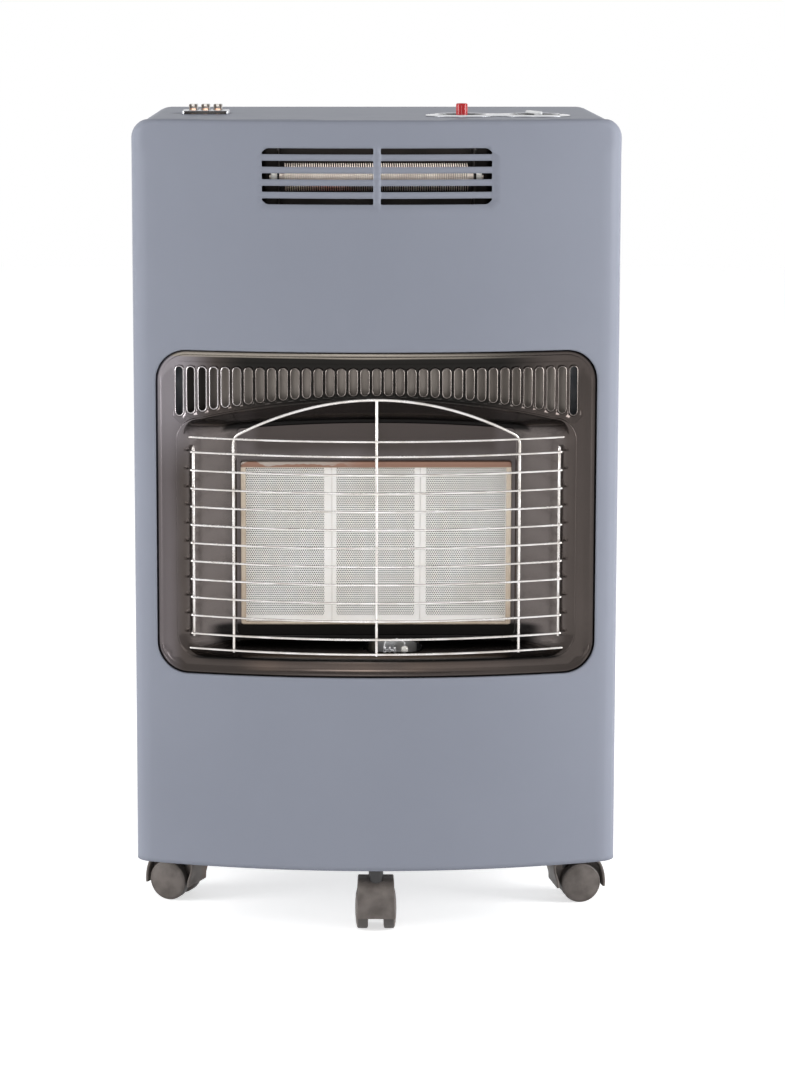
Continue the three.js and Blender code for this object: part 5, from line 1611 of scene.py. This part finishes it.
    def build(self, nodes: dict[str, bpy.types.Object]) -> None:
        """Makes the burner's pieces and finishes its CAD solids."""
        Bench3D.piece(
            "burner_frame_sleeve", self.sleeve(), [BURNER_STEEL], replaces=["burner_frame"],
            slot="burner_steel", sheet=0.7,
        )
        for index in range(len(self.windows)):
            Bench3D.piece(
                f"perforated_plaque_{index + 1}", self.plaque(index), [CERAMIC, HOLE_SHADE],
                replaces=[f"ceramic_plaque_{index + 1}"], slot="ceramic",
            )
        Bench3D.piece(
            "pilot_bracket_plate", self.bracket(), [BRACKET_STEEL], replaces=["pilot_bracket"],
            slot="burner_steel",
        )
        Bench3D.piece(
            "pilot_burner_block", self.pilot_block(), [BRACKET_STEEL], replaces=["pilot_burner"],
            slot="burner_steel",
        )
        Bench3D.piece(
            "spark_electrode_rod", self.spark(), [PORCELAIN, BRACKET_STEEL],
            replaces=["spark_electrode"], slot="ceramic",
        )
        Bench3D.dress(nodes, BURNER_STEEL, "burner_body")
        Bench3D.dress(nodes, BRACKET_STEEL, "injector_rail")


# ------------------------------------------------------------------------------ guard


@dataclass
class Guard:
    """The wire guard: bowed cross wires, end posts, an arch with two legs and a middle wire."""

    half: float = 161.0
    front_y: float = -34.8
    bow: float = 28.0
    wire: float = 0.95
    rod: float = 1.2
    sunk: float = 0.3
    heights: tuple[float, float, float, float, int] = (251.3, 264.3, 423.3, 436.3, 11)
    post: tuple[float, float] = (158.0, -2.5)
    leg_x: float = 123.0
    leg_top: float = 438.0
    crown: float = 472.0
    hooks: tuple[float, float] = (268.0, 427.0)
    hook_length: float = 13.0

    def depth(self, x: Any) -> Any:
        """Depth of the guard's face: it falls back with the square of x."""
        return self.front_y + self.bow * np.square(np.asarray(x, float) / self.half)

    def cross_wire(self, z: float, turned_back: bool) -> Skin:
        """One cross wire; all but the outer two turn back at both ends to the posts."""
        x = np.linspace(-self.half, self.half, 41)
        line = beside(x, self.depth(x), z)
        if turned_back:
            post_x, post_y = self.post
            ends = [np.array([[side * post_x, post_y - self.sunk, z]]) for side in (-1, 1)]
            corner = 3.0
            bends = [
                softened([ends[0][0], line[0], line[1]], corner),
                softened([line[-2], line[-1], ends[1][0]], corner),
            ]
            line = np.vstack([bends[0], line[2:-2], bends[1]])
        return tube(line, self.wire, 10)

    def rods(self) -> Skin:
        """The posts, the arch and the middle wire, behind the cross wires."""
        _, low, high, _, _ = self.heights
        foot = self.heights[0] - self.rod
        behind = self.wire + self.rod - self.sunk
        post_x, post_y = self.post
        across = np.linspace(-1, 1, 33)
        rise = (self.crown - self.leg_top) * (1 - across**2)
        arch_x = self.leg_x * across
        crown = beside(arch_x, self.depth(arch_x) + behind, self.leg_top + rise)
        leg_y = float(self.depth(self.leg_x)) + behind
        left = softened([[-self.leg_x, leg_y, foot], crown[0], crown[2]], 7.0)
        right = softened([crown[-3], crown[-1], [self.leg_x, leg_y, foot]], 7.0)
        arch = np.vstack([left, crown[3:-3], right])
        middle = np.array([
            [0, self.front_y + behind, foot], [0, self.front_y + behind, self.crown - 1.0]
        ])
        posts = [
            np.array([[side * post_x, post_y, low - 2.8], [side * post_x, post_y, high + 2.8]])
            for side in (-1, 1)
        ]
        return add(tube(line, self.rod, 12, (0, 1, 0)) for line in (arch, middle, *posts))

    def hook_wires(self) -> Skin:
        """The four hooks from the posts through the recess's side walls."""
        post_x, post_y = self.post
        lines = [
            np.array([[side * post_x, post_y, z], [side * post_x, post_y + self.hook_length, z]])
            for side in (-1, 1) for z in self.hooks
        ]
        return add(tube(line, self.wire, 8) for line in lines)

    def welds(self) -> Skin:
        """Small beads where the cross wires are welded to the legs and the middle wire."""
        drop = revolve([(0.01, -1.0), (0.9, -0.8), (1.25, 0.0), (0.9, 0.8), (0.01, 1.0)], 8)
        lowest, low, high, top, count = self.heights
        rows = [lowest, *np.linspace(low, high, count).tolist(), top]
        spots = [
            (x, float(self.depth(x)) + self.wire * 0.9, z) for x in (-self.leg_x, 0.0, self.leg_x)
            for z in rows
        ]
        return add(drop.moved(*spot) for spot in spots)

    def build(self, nodes: dict[str, bpy.types.Object]) -> None:
        """Makes the guard in one piece."""
        lowest, low, high, top, count = self.heights
        wires = [self.cross_wire(z, True) for z in np.linspace(low, high, count).tolist()]
        wires += [self.cross_wire(z, False) for z in (lowest, top)]
        Bench3D.piece(
            "guard_wires", add([*wires, self.rods(), self.hook_wires(), self.welds()]),
            [GUARD_WIRE], replaces=["wire_guard"], slot="guard_chrome", smooth=60, weld=False,
        )


# ------------------------------------------------------------------------------ element


@dataclass
class ElectricElement:
    """The electric convector element behind the grille: a tube with a spiral fin, its end
    terminals and brackets, and the bent reflector under and behind it."""

    y: float = 20.0
    z: float = 658.5
    tube_radius: float = 4.0
    fin_radius: float = 12.0
    fin_half: float = 79.0
    fin_turns: int = 82
    tube_half: float = 92.0
    bracket_x: float = 84.0
    bracket: tuple[float, float, float, float] = (-12.0, 37.7, 630.8, 684.0)
    reflector: tuple[float, float, float] = (105.0, -12.0, 38.0)
    shelf: float = 629.0
    top: float = 707.2

    def fin(self) -> Skin:
        """The spiral fin: a thin strip on edge that winds round the tube.

        Along the winding the angle grows evenly with x; the strip's section is its two rims on
        either face.

        Returns:
            The skin.
        """
        steps = self.fin_turns * 18
        turn = np.linspace(0, TAU * self.fin_turns, steps + 1)
        x = np.linspace(-self.fin_half, self.fin_half, steps + 1)
        section = [
            (self.tube_radius - 0.3, 0.4), (self.fin_radius, 0.4), (self.fin_radius, -0.4),
            (self.tube_radius - 0.3, -0.4),
        ]
        rows = np.stack([
            beside(x + shift, self.y + radius * np.cos(turn), self.z + radius * np.sin(turn))
            for radius, shift in section
        ])
        strip = grid(rows, close_rows=True)
        # the rims take the element's steel; the side faces take the painted shade
        rim = np.repeat([False, True, False, False], steps)
        return Skin(strip.points, strip.faces, np.where(rim, 0, 1))

    def rod(self) -> Skin:
        """The element's tube, with a threaded stud at each end; its white insulators are made
        apart.
        """
        profile = [
            (0.01, -self.tube_half), (1.8, -self.tube_half), (1.8, 5.0 - self.tube_half),
            (self.tube_radius, 5.4 - self.tube_half), (self.tube_radius, self.tube_half - 5.4),
            (1.8, self.tube_half - 5.0), (1.8, self.tube_half), (0.01, self.tube_half),
        ]
        return swap(revolve(profile, 24), (2, 0, 1), (1, 1, 1)).moved(y=self.y, z=self.z)

    def insulators(self) -> Skin:
        """White ceramic collars on the tube's ends, outside the brackets."""
        collar = revolve([
            (3.0, -2.9), (5.2, -2.9), (5.7, -2.3), (5.7, 2.3), (5.2, 2.9), (3.0, 2.9)
        ], 28)
        laid = lying(collar).moved(y=self.y, z=self.z)
        reach = self.bracket_x + 3.8
        return laid.moved(x=-reach) + laid.moved(x=reach)

    def bracket_plate(self, x: float) -> Skin:
        """One end bracket: a plate on edge with rounded corners."""
        front, back, low, high = self.bracket
        plate = slab(
            lambda inset: rounded_rectangle(
                (back - front) / 2 - inset, (high - low) / 2 - inset, 4.0, 5
            ),
            -0.6, 0.6, 0.25,
        )
        upright_plate = lying(plate)
        return upright_plate.moved(x, (front + back) / 2, (low + high) / 2)

    def reflector_skin(self) -> Skin:
        """The reflector: one sheet bent from its rolled front edge over the shelf up the back."""
        half, front, back = self.reflector
        section = softened([
            (front + 0.4, self.shelf + 0.6), (front + 3.0, self.shelf + 1.4),
            (back, self.shelf + 1.4), (back, self.top),
        ], 3.0, 6)
        section = densified(section, 12.0, closed=False)
        x = np.linspace(-half, half, 22)
        rows = np.stack([
            beside(x, y, z) for y, z in section
        ])
        return grid(rows)

    def build(self, nodes: dict[str, bpy.types.Object]) -> None:
        """Makes the element and its sheet parts."""
        Bench3D.piece(
            "spiral_fin_element", self.fin() + self.rod(), [ELEMENT_STEEL, FIN_SHADE],
            replaces=["heating_element"], slot="satin_steel", weld=False,
        )
        Bench3D.piece("element_insulators", self.insulators(), [PORCELAIN], slot="ceramic")
        for side, label in ((-1, "left"), (1, "right")):
            Bench3D.piece(
                f"element_end_plate_{label}", self.bracket_plate(side * self.bracket_x),
                [SHADE_DARK_SHEET], replaces=[f"element_bracket_{label}"], slot="inner_steel",
            )
        Bench3D.piece(
            "element_reflector_sheet", self.reflector_skin(), [REFLECTOR_STEEL],
            replaces=["element_reflector"], slot="satin_steel", sheet=1.0,
        )


# ------------------------------------------------------------------------------ controls


@dataclass
class GasControls:
    """The gas controls in the top: a plate of two joined discs, its igniter button and knob."""

    igniter_x: float = 75.0
    knob_x: float = 138.0
    y: float = 66.0
    disc: float = 31.8
    waist: float = 6.0
    well: float = 21.6
    plate: tuple[float, float, float] = (709.3, 709.9, 710.8)
    slope: float = 7.4
    button: tuple[float, float, float] = (5.2, 674.0, 720.0)
    knob: tuple[float, float, float] = (19.0, 702.0, 709.8)
    grip: tuple[float, float, float] = (2.7, 15.5, 713.4)
    grip_turn: float = 18.0
    hub: tuple[float, float] = (7.0, 690.0)

    def plan(self, inset: float) -> np.ndarray:
        """The plate's outline: two circles joined by two small ones tangent to both.

        A small circle's centre lies where its distance from either large centre is the sum of the
        radii.

        Args:
            inset: distance inwards.

        Returns:
            The loop in plan.
        """
        half = (self.knob_x - self.igniter_x) / 2
        reach = self.disc + self.waist
        height = math.sqrt(reach**2 - half**2)
        tilt = math.atan2(height, half)
        middle = (self.igniter_x + self.knob_x) / 2

        def arc(
            x: float, y: float, radius: float, start: float, end: float, steps: int
        ) -> np.ndarray:
            """An arc about a centre in plan."""
            angle = np.linspace(start, end, steps)
            return beside(x + radius * np.cos(angle), y + radius * np.sin(angle))

        large, small, turn = self.disc - inset, self.waist + inset, TAU / 2 - tilt
        return np.vstack([
            arc(self.knob_x, self.y, large, -turn, turn, 64),
            arc(middle, self.y + height, small, -tilt, tilt - TAU / 2, 12)[1:-1],
            arc(self.igniter_x, self.y, large, tilt, TAU - tilt, 64),
            arc(middle, self.y - height, small, turn, tilt, 12)[1:-1],
        ])

    def plate_skin(self) -> Skin:
        """The plate: a low wall, a slope up to a flat, and rounded rims round both wells."""
        low, edge, high = self.plate
        levels = [(0.0, low), (0.0, edge - 0.3), (0.4, edge), (self.slope, high - 0.25),
                  (self.slope + 0.9, high)]
        rows = np.stack([upright(self.plan(inset), z) for inset, z in levels])
        rings = [(self.well + 0.8, high), (self.well + 0.25, high - 0.15),
                 (self.well, high - 0.5), (self.well, low - 1.0)]
        wells, holes = [], []
        for x in (self.igniter_x, self.knob_x):
            loops = [upright(circle(radius, 64) + np.array([x, self.y]), z) for radius, z in rings]
            holes.append(loops[0][:, :2])
            wells += [wrapped(loops[:3]), wrapped(loops[2:]).finished(1)]
        top = filled(self.plan(self.slope + 0.9), holes, 5.0).moved(z=high)
        return add([wrapped(rows), top, *wells])

    def marks(self) -> Skin:
        """Plain ticks on the plate round the knob, one of them long, sunk half their height."""
        ticks = []
        for index, degrees in enumerate((90, 50, 10, -30, 130)):
            long = 3.4 if index == 0 else 2.2
            tick = round_block(0.45, long / 2, -0.15, 0.12, 0.3, 0.08)
            tick = tick.moved(y=self.well + 1.4 + long / 2).turned(degrees - 90)
            ticks.append(tick.moved(self.knob_x, self.y, self.plate[2]))
        return add(ticks)

    def button_skin(self) -> Skin:
        """The red button: a long round pin with a soft edge and a shallow dish on top."""
        radius, low, high = self.button
        return revolve([
            (0.01, low), (radius - 0.6, low), (radius - 0.1, low + 0.6), (radius - 0.1, high - 1.3),
            (radius - 0.3, high - 0.55), (radius - 0.9, high - 0.1), (radius - 1.5, high),
            (radius * 0.4, high - 0.35), (0.01, high - 0.45),
        ], 48).moved(self.igniter_x, self.y)

    def knob_skin(self) -> Skin:
        """The knob: a fluted disc on its hub and a raised bar to grip, turned as it is shown."""
        radius, low, high = self.knob
        hub, hub_low = self.hub
        turn = np.linspace(0, TAU, 145)[:-1]
        flute = 0.35 * np.cos(24 * turn)
        profile = [
            (hub, hub_low), (hub, low), (radius - 1.2, low), (radius - 0.4, low + 0.8),
            (radius - 0.4, high - 1.2), (radius - 1.4, high - 0.2), (radius - 2.4, high),
            (hub + 1.6, high), (hub + 0.8, high + 1.4), (0.01, high + 1.4),
        ]
        rows = []
        for r, z in profile:
            ring = r + flute * (r > radius - 1.3)
            rows.append(beside(ring * np.cos(turn), ring * np.sin(turn), z))
        disc = wrapped(rows)
        half, length, top = self.grip
        bar = slab(
            lambda inset: rounded_rectangle(half - inset * 0.8, length - inset, 2.4, 5),
            high - 0.2, top, 1.4, 4,
        )
        return (disc + bar.finished(1).turned(self.grip_turn)).moved(self.knob_x, self.y)

    def build(self, nodes: dict[str, bpy.types.Object]) -> None:
        """Makes the controls' pieces and finishes the gas parts below the top."""
        Bench3D.piece(
            "control_plate", self.plate_skin(), [SILVER_PLASTIC, PLATE_BLACK],
            replaces=["control_escutcheon"], slot="silver_plastic", smooth=50,
        )
        Bench3D.piece("dial_marks", self.marks(), [PLATE_BLACK], slot="silver_plastic")
        Bench3D.piece(
            "red_button", self.button_skin(), [RED_PLASTIC], "igniter", ["igniter_button"],
            "red_plastic", smooth=50,
        )
        Bench3D.piece(
            "gas_knob", self.knob_skin(), [PLATE_BLACK, WHITE_PLASTIC], "knob", ["control_knob"],
            "black_plastic", smooth=50,
        )
        Bench3D.dress(nodes, PLATE_BLACK, "control_bowl")
        Bench3D.dress(nodes, BLACK_PLASTIC, "igniter_body")
        Bench3D.dress(nodes, BRASS, "valve_spindle", "gas_valve", "hose_nozzle")
        Bench3D.dress(nodes, COPPER, "burner_pipe", "pilot_pipe")
        Bench3D.dress(nodes, LEAD_RUBBER, "ignition_lead")


# ------------------------------------------------------------------------------ switches


@dataclass
class HeaterSwitches:
    """The three key switches of the electric element, in their bezel."""

    x: float = -150.8
    y: float = 113.0
    pitch: float = 10.9
    key: tuple[float, float, float, float] = (3.7, 9.0, 692.0, 717.7)
    bezel: tuple[float, float, float, float] = (20.7, 13.0, 709.3, 712.3)

    def key_finish(self, index: int) -> Finish:
        """A key's smoky cap over chrome: the dark base colour, with a pale painted highlight on top
        and a peach one at its foot, both down its middle line.
        """
        middle = (self.x + self.pitch * (index - 1)) * MM

        def patch(
            colour: tuple[float, float, float], outer: float, inner: float, low: float, high: float
        ) -> Zone:
            """A painted highlight about the key's middle line, on the heights past a level."""
            sides = tuple(("x", middle + side * outer, middle + side * inner) for side in (1, -1))
            return Zone(colour, (("z", low, high), *sides), 0.0004)

        return Zoned(
            f"smoky_key_{index + 1}", (92, 80, 70), (74, 64, 56), 60.0, metallic=0.3,
            roughness=0.14, coat=0.5, coat_roughness=0.05, zones=(
                # painted highlights: peach at the key's foot and pale on its top
                patch((205, 158, 128), 0.0028, 0.0018, 0.7142, 0.7136),
                patch((236, 230, 222), 0.0016, 0.0010, 0.7155, 0.7162),
            ),
        )

    def bezel_skin(self) -> Skin:
        """The bezel: a low frame with soft edges and three slots for the keys."""
        half_x, half_y, low, high = self.bezel
        levels = [(0.0, low), (0.0, high - 0.9), (0.25, high - 0.3), (0.9, high)]
        rows = np.stack([
            upright(rounded_rectangle(half_x - inset, half_y - inset, 3.0, 5), z)
            for inset, z in levels
        ])
        key_x, key_y, _, _ = self.key
        holes, walls = [], []
        for side in (-1, 0, 1):
            loop = rounded_rectangle(key_x + 0.3, key_y + 0.3, 1.2, 3)
            loop = loop + np.array([side * self.pitch, 0.0])
            holes.append(loop)
            walls.append(wrapped([upright(loop, high), upright(loop, low)]))
        rim = rounded_rectangle(half_x - 0.9, half_y - 0.9, 3.0, 5)
        top = filled(rim, holes, 3.0).moved(z=high)
        return add([wrapped(rows), top, *walls]).moved(self.x, self.y)

    def build(self, nodes: dict[str, bpy.types.Object]) -> None:
        """Makes the bezel and the keys."""
        Bench3D.piece(
            "switch_bezel_frame", self.bezel_skin(), [BEZEL_PLASTIC], replaces=["switch_bezel"],
            slot="silver_plastic",
        )
        half_x, half_y, low, high = self.key
        cap = slab(
            lambda inset: rounded_rectangle(half_x - inset, half_y - inset, 0.9, 4), low, high, 0.8
        )
        for index in range(3):
            Bench3D.piece(
                f"switch_key_{index + 1}", cap.moved(self.x + self.pitch * (index - 1), self.y),
                [self.key_finish(index)], f"switch_{index + 1}", [f"heater_switch_{index + 1}"],
                "smoky_plastic",
            )
        Bench3D.dress(nodes, BLACK_PLASTIC, "switch_block")


# ------------------------------------------------------------------------------ casters


@dataclass
class Casters:
    """Five twin-wheel casters, each a hood with its stem and a pair of wheels on an axle."""

    places: tuple[tuple[str, float, float, float], ...] = (
        ("front", 0.0, -18.0, 0.0), ("left", -170.0, 82.0, 65.0), ("right", 171.5, 78.0, -80.0),
        ("rear_left", -135.0, 330.0, 20.0), ("rear_right", 135.0, 330.0, -15.0),
    )
    trail: float = 12.0
    wheel: float = 18.0
    wheel_faces: tuple[float, float] = (6.8, 18.2)
    rim: tuple[float, float] = (20.0, 22.5)
    arc: tuple[float, float] = (-9.0, 190.0)
    crown: float = 6.6
    shoulder: float = 7.0
    hood_halves: tuple[float, float] = (15.7, 17.3)
    web: float = 5.7
    stem: tuple[float, float] = (6.4, 58.7)

    def swell(self, turn: np.ndarray) -> np.ndarray:
        """How far the hood stands off its circle: the crown times the sine squared, and ahead of
        the axle the shoulder times the sine of twice the angle, squared."""
        top = np.maximum(np.sin(turn), 0.0) ** 2
        ahead = np.where(np.cos(turn) > 0, np.maximum(np.sin(2 * turn), 0.0) ** 2, 0.0)
        return self.crown * top + self.shoulder * ahead

    def hood(self) -> Skin:
        """The hood: a band swept round the wheels that widens downwards, a web and the stem.

        The band's section is a rectangle with soft corners; its middle goes round the axle on a
        circle that swells at the top and the front.

        Returns:
            The skin, with the stem on the z axis.
        """
        inner, outer = self.rim
        turn = np.radians(np.linspace(*self.arc, 49))
        narrow, wide = self.hood_halves
        rows = []
        for angle in turn:
            half = narrow + (wide - narrow) * (1 - math.sin(angle)) / 1.4
            loop = rounded_rectangle(min(half, wide), (outer - inner) / 2, 1.1, 4)
            radius = (inner + outer) / 2 + float(self.swell(np.array(angle))) + loop[:, 1]
            y, z = self.trail - radius * math.cos(angle), self.wheel + radius * math.sin(angle)
            rows.append(beside(loop[:, 0], y, z))
        band = wrapped(rows).flipped() + fan(rows[0]) + fan(rows[-1], flip=True)

        def side(inset: float) -> np.ndarray:
            """The web's outline: the band's circle over its span, closed by a chord."""
            radius = outer - 0.6 - inset + self.swell(turn)
            return beside(self.trail - radius * np.cos(turn), self.wheel + radius * np.sin(turn))

        web = lying(slab(side, -self.web, self.web, 0.6)).flipped()
        stem_radius, stem_top = self.stem
        boss = revolve([
            (0.01, 30.0), (stem_radius, 30.0), (stem_radius, stem_top - 0.6),
            (stem_radius - 0.6, stem_top), (0.01, stem_top),
        ], 32).finished(1)
        return band + web + boss

    def wheels(self) -> Skin:
        """The wheels: a tread with soft edges, a thin groove and a domed face, on an axle."""
        inner, outer = self.wheel_faces
        r = self.wheel
        profile = [
            (3.2, inner), (r - 2.2, inner), (r - 0.6, inner + 0.4), (r, inner + 1.4),
            (r, outer - 3.4), (r - 0.35, outer - 2.4), (r - 1.1, outer - 1.75),
            (r - 1.6, outer - 1.6), (r - 1.75, outer - 1.85), (r - 2.0, outer - 1.5),
            (r * 0.7, outer - 0.75), (r * 0.35, outer - 0.2), (0.01, outer),
        ]
        solid = revolve(profile, 56)
        rows = len(profile) - 1
        finish = np.repeat(np.where(np.isin(np.arange(rows), (2, 3, 4)), 1, 0), 56)
        wheel = Skin(solid.points, solid.faces, finish)
        reach = inner + 1
        axle = revolve([(0.01, -reach), (3.0, -reach), (3.0, reach), (0.01, reach)], 20)
        right = lying(wheel)
        left = swap(wheel, (2, 0, 1), (-1, 1, 1))
        return (right + left + lying(axle).finished(2)).moved(y=self.trail, z=r)

    def build(self, nodes: dict[str, bpy.types.Object]) -> None:
        """Makes every caster, turned as it is shown."""
        hood, wheels = self.hood(), self.wheels()
        for name, x, y, turn in self.places:
            Bench3D.piece(
                f"caster_{name}_cowl", hood.turned(turn).moved(x, y),
                [CASTER_PLASTIC, BLACK_PLASTIC], f"caster_{name}", [f"caster_{name}_hood"],
                "caster_plastic", smooth=40,
            )
            Bench3D.piece(
                f"caster_{name}_wheel_pair", wheels.turned(turn).moved(x, y),
                [CASTER_PLASTIC, TREAD_PLASTIC, BRACKET_STEEL], f"caster_{name}_wheels",
                [f"caster_{name}_axle", f"caster_{name}_wheel_left", f"caster_{name}_wheel_right"],
                "caster_plastic", smooth=40,
            )


ASSEMBLIES = (
    Cabinet, Recess, Burner, Guard, ElectricElement, GasControls, HeaterSwitches, Casters,
)


# ------------------------------------------------------------------------------ the stage


@dataclass
class Stage:
    """Pale floor, soft lamps, a plain white world and the camera at the photograph's angle."""

    lens: float = 97.0
    camera_x: float = -0.0258
    camera_y: float = -2.5 + CABINET_TO_ROW_Y * MM
    camera_z: float = 0.820
    pitch: float = 7.217
    shift: tuple[float, float] = (0.0424, -0.17)
    world_strength: float = 0.4
    floor_lift: float = 0.6

    def camera(self) -> None:
        """Places the camera: it looks along y and down by the pitch, with a small shift."""
        data = bpy.data.cameras.new("camera")
        data.lens, data.sensor_width = self.lens, 36.0
        data.shift_x, data.shift_y = self.shift
        data.clip_start, data.clip_end = 0.05, 50.0
        made = in_scene("camera", data)
        made.location = (self.camera_x, self.camera_y, self.camera_z)
        made.rotation_euler = (math.radians(90 - self.pitch), 0, 0)
        bpy.context.scene.camera = made

    @staticmethod
    def lamp(
        name: str, place: Sequence[float], aim: Sequence[float], size: tuple[float, float],
        power: float,
    ) -> None:
        """Adds a rectangular soft lamp that looks from its place to its aim."""
        data = bpy.data.lights.new(name, "AREA")
        data.shape, data.size, data.size_y, data.energy = "RECTANGLE", *size, power
        made = in_scene(name, data)
        made.location = place
        way = np.asarray(aim, float) - np.asarray(place, float)
        flat = math.hypot(way[0], way[1])
        made.rotation_euler = (math.atan2(flat, -way[2]), 0, math.atan2(way[1], way[0]) - TAU / 4)
        made.visible_camera = False

    @staticmethod
    def _seen(tree: Any) -> Any:
        """Adds nodes that give 1 for camera, glossy and transmission rays and 0 for the rest."""
        path = tree.nodes.new("ShaderNodeLightPath")
        total = path.outputs["Is Camera Ray"]
        for name in ("Is Glossy Ray", "Is Transmission Ray"):
            either = tree.nodes.new("ShaderNodeMath")
            either.operation, either.use_clamp = "ADD", True
            tree.links.new(total, either.inputs[0])
            tree.links.new(path.outputs[name], either.inputs[1])
            total = either.outputs[0]
        return total

    def world(self) -> None:
        """A soft grey-white world whose camera, glossy and transmission rays see white."""
        world = bpy.data.worlds.new("studio")
        bpy.context.scene.world = world
        world.use_nodes = True
        tree = world.node_tree
        ground, white = tree.nodes["Background"], tree.nodes.new("ShaderNodeBackground")
        for node, strength in ((ground, self.world_strength), (white, 1.0)):
            node.inputs[0].default_value = (1, 1, 1, 1)
            node.inputs[1].default_value = strength
        mix = tree.nodes.new("ShaderNodeMixShader")
        for index, wire in enumerate((self._seen(tree), ground.outputs[0], white.outputs[0])):
            tree.links.new(wire, mix.inputs[index])
        tree.links.new(mix.outputs[0], tree.nodes["World Output"].inputs[0])

    def floor(self) -> None:
        """A wide pale floor that shows white to the camera but keeps the heater's shadow."""
        reach = 6.0
        corners = [(-reach, -reach, 0), (reach, -reach, 0), (reach, reach, 0), (-reach, reach, 0)]
        mesh = bpy.data.meshes.new("floor")
        mesh.from_pydata(corners, [], [(0, 1, 2, 3)])
        bench = Bench("studio_floor")
        bench.set(Base_Color=(0.9, 0.9, 0.9, 1), Roughness=0.9, Specular_IOR_Level=0.1)
        bench.set(Emission_Color=(1, 1, 1, 1))
        bench.set(Emission_Strength=Wire(bench, self._seen(bench.tree)) * self.floor_lift)
        mesh.materials.append(bench.material)
        in_scene("floor", mesh)

    def build(self) -> None:
        """Makes the whole stage."""
        bpy.context.scene.view_settings.view_transform = "Standard"
        self.camera()
        self.world()
        self.floor()
        self.lamp("key", (-2.75, -0.85, 1.15), (0, 0, 0.4), (1.2, 1.8), 62)
        self.lamp("fill", (2.75, -0.7, 1.05), (0, 0, 0.4), (1.2, 1.9), 82)
        self.lamp("front", (-0.15, -2.9, 0.95), (0, 0, 0.5), (0.7, 0.7), 7)
        self.lamp("behind_grille", (0, -0.172, 0.69), (0, -0.15, 0.6585), (0.2, 0.006), 0.07)


def main() -> None:
    """Builds the stage and every sub-assembly."""
    logging.basicConfig(level=logging.INFO, format="%(message)s")
    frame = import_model()
    nodes = frame["nodes"]
    Stage().build()
    for assembly in ASSEMBLIES:
        LOG.info("building %s", assembly.__name__)
        assembly().build(nodes)


if __name__ == "__main__":
    main()
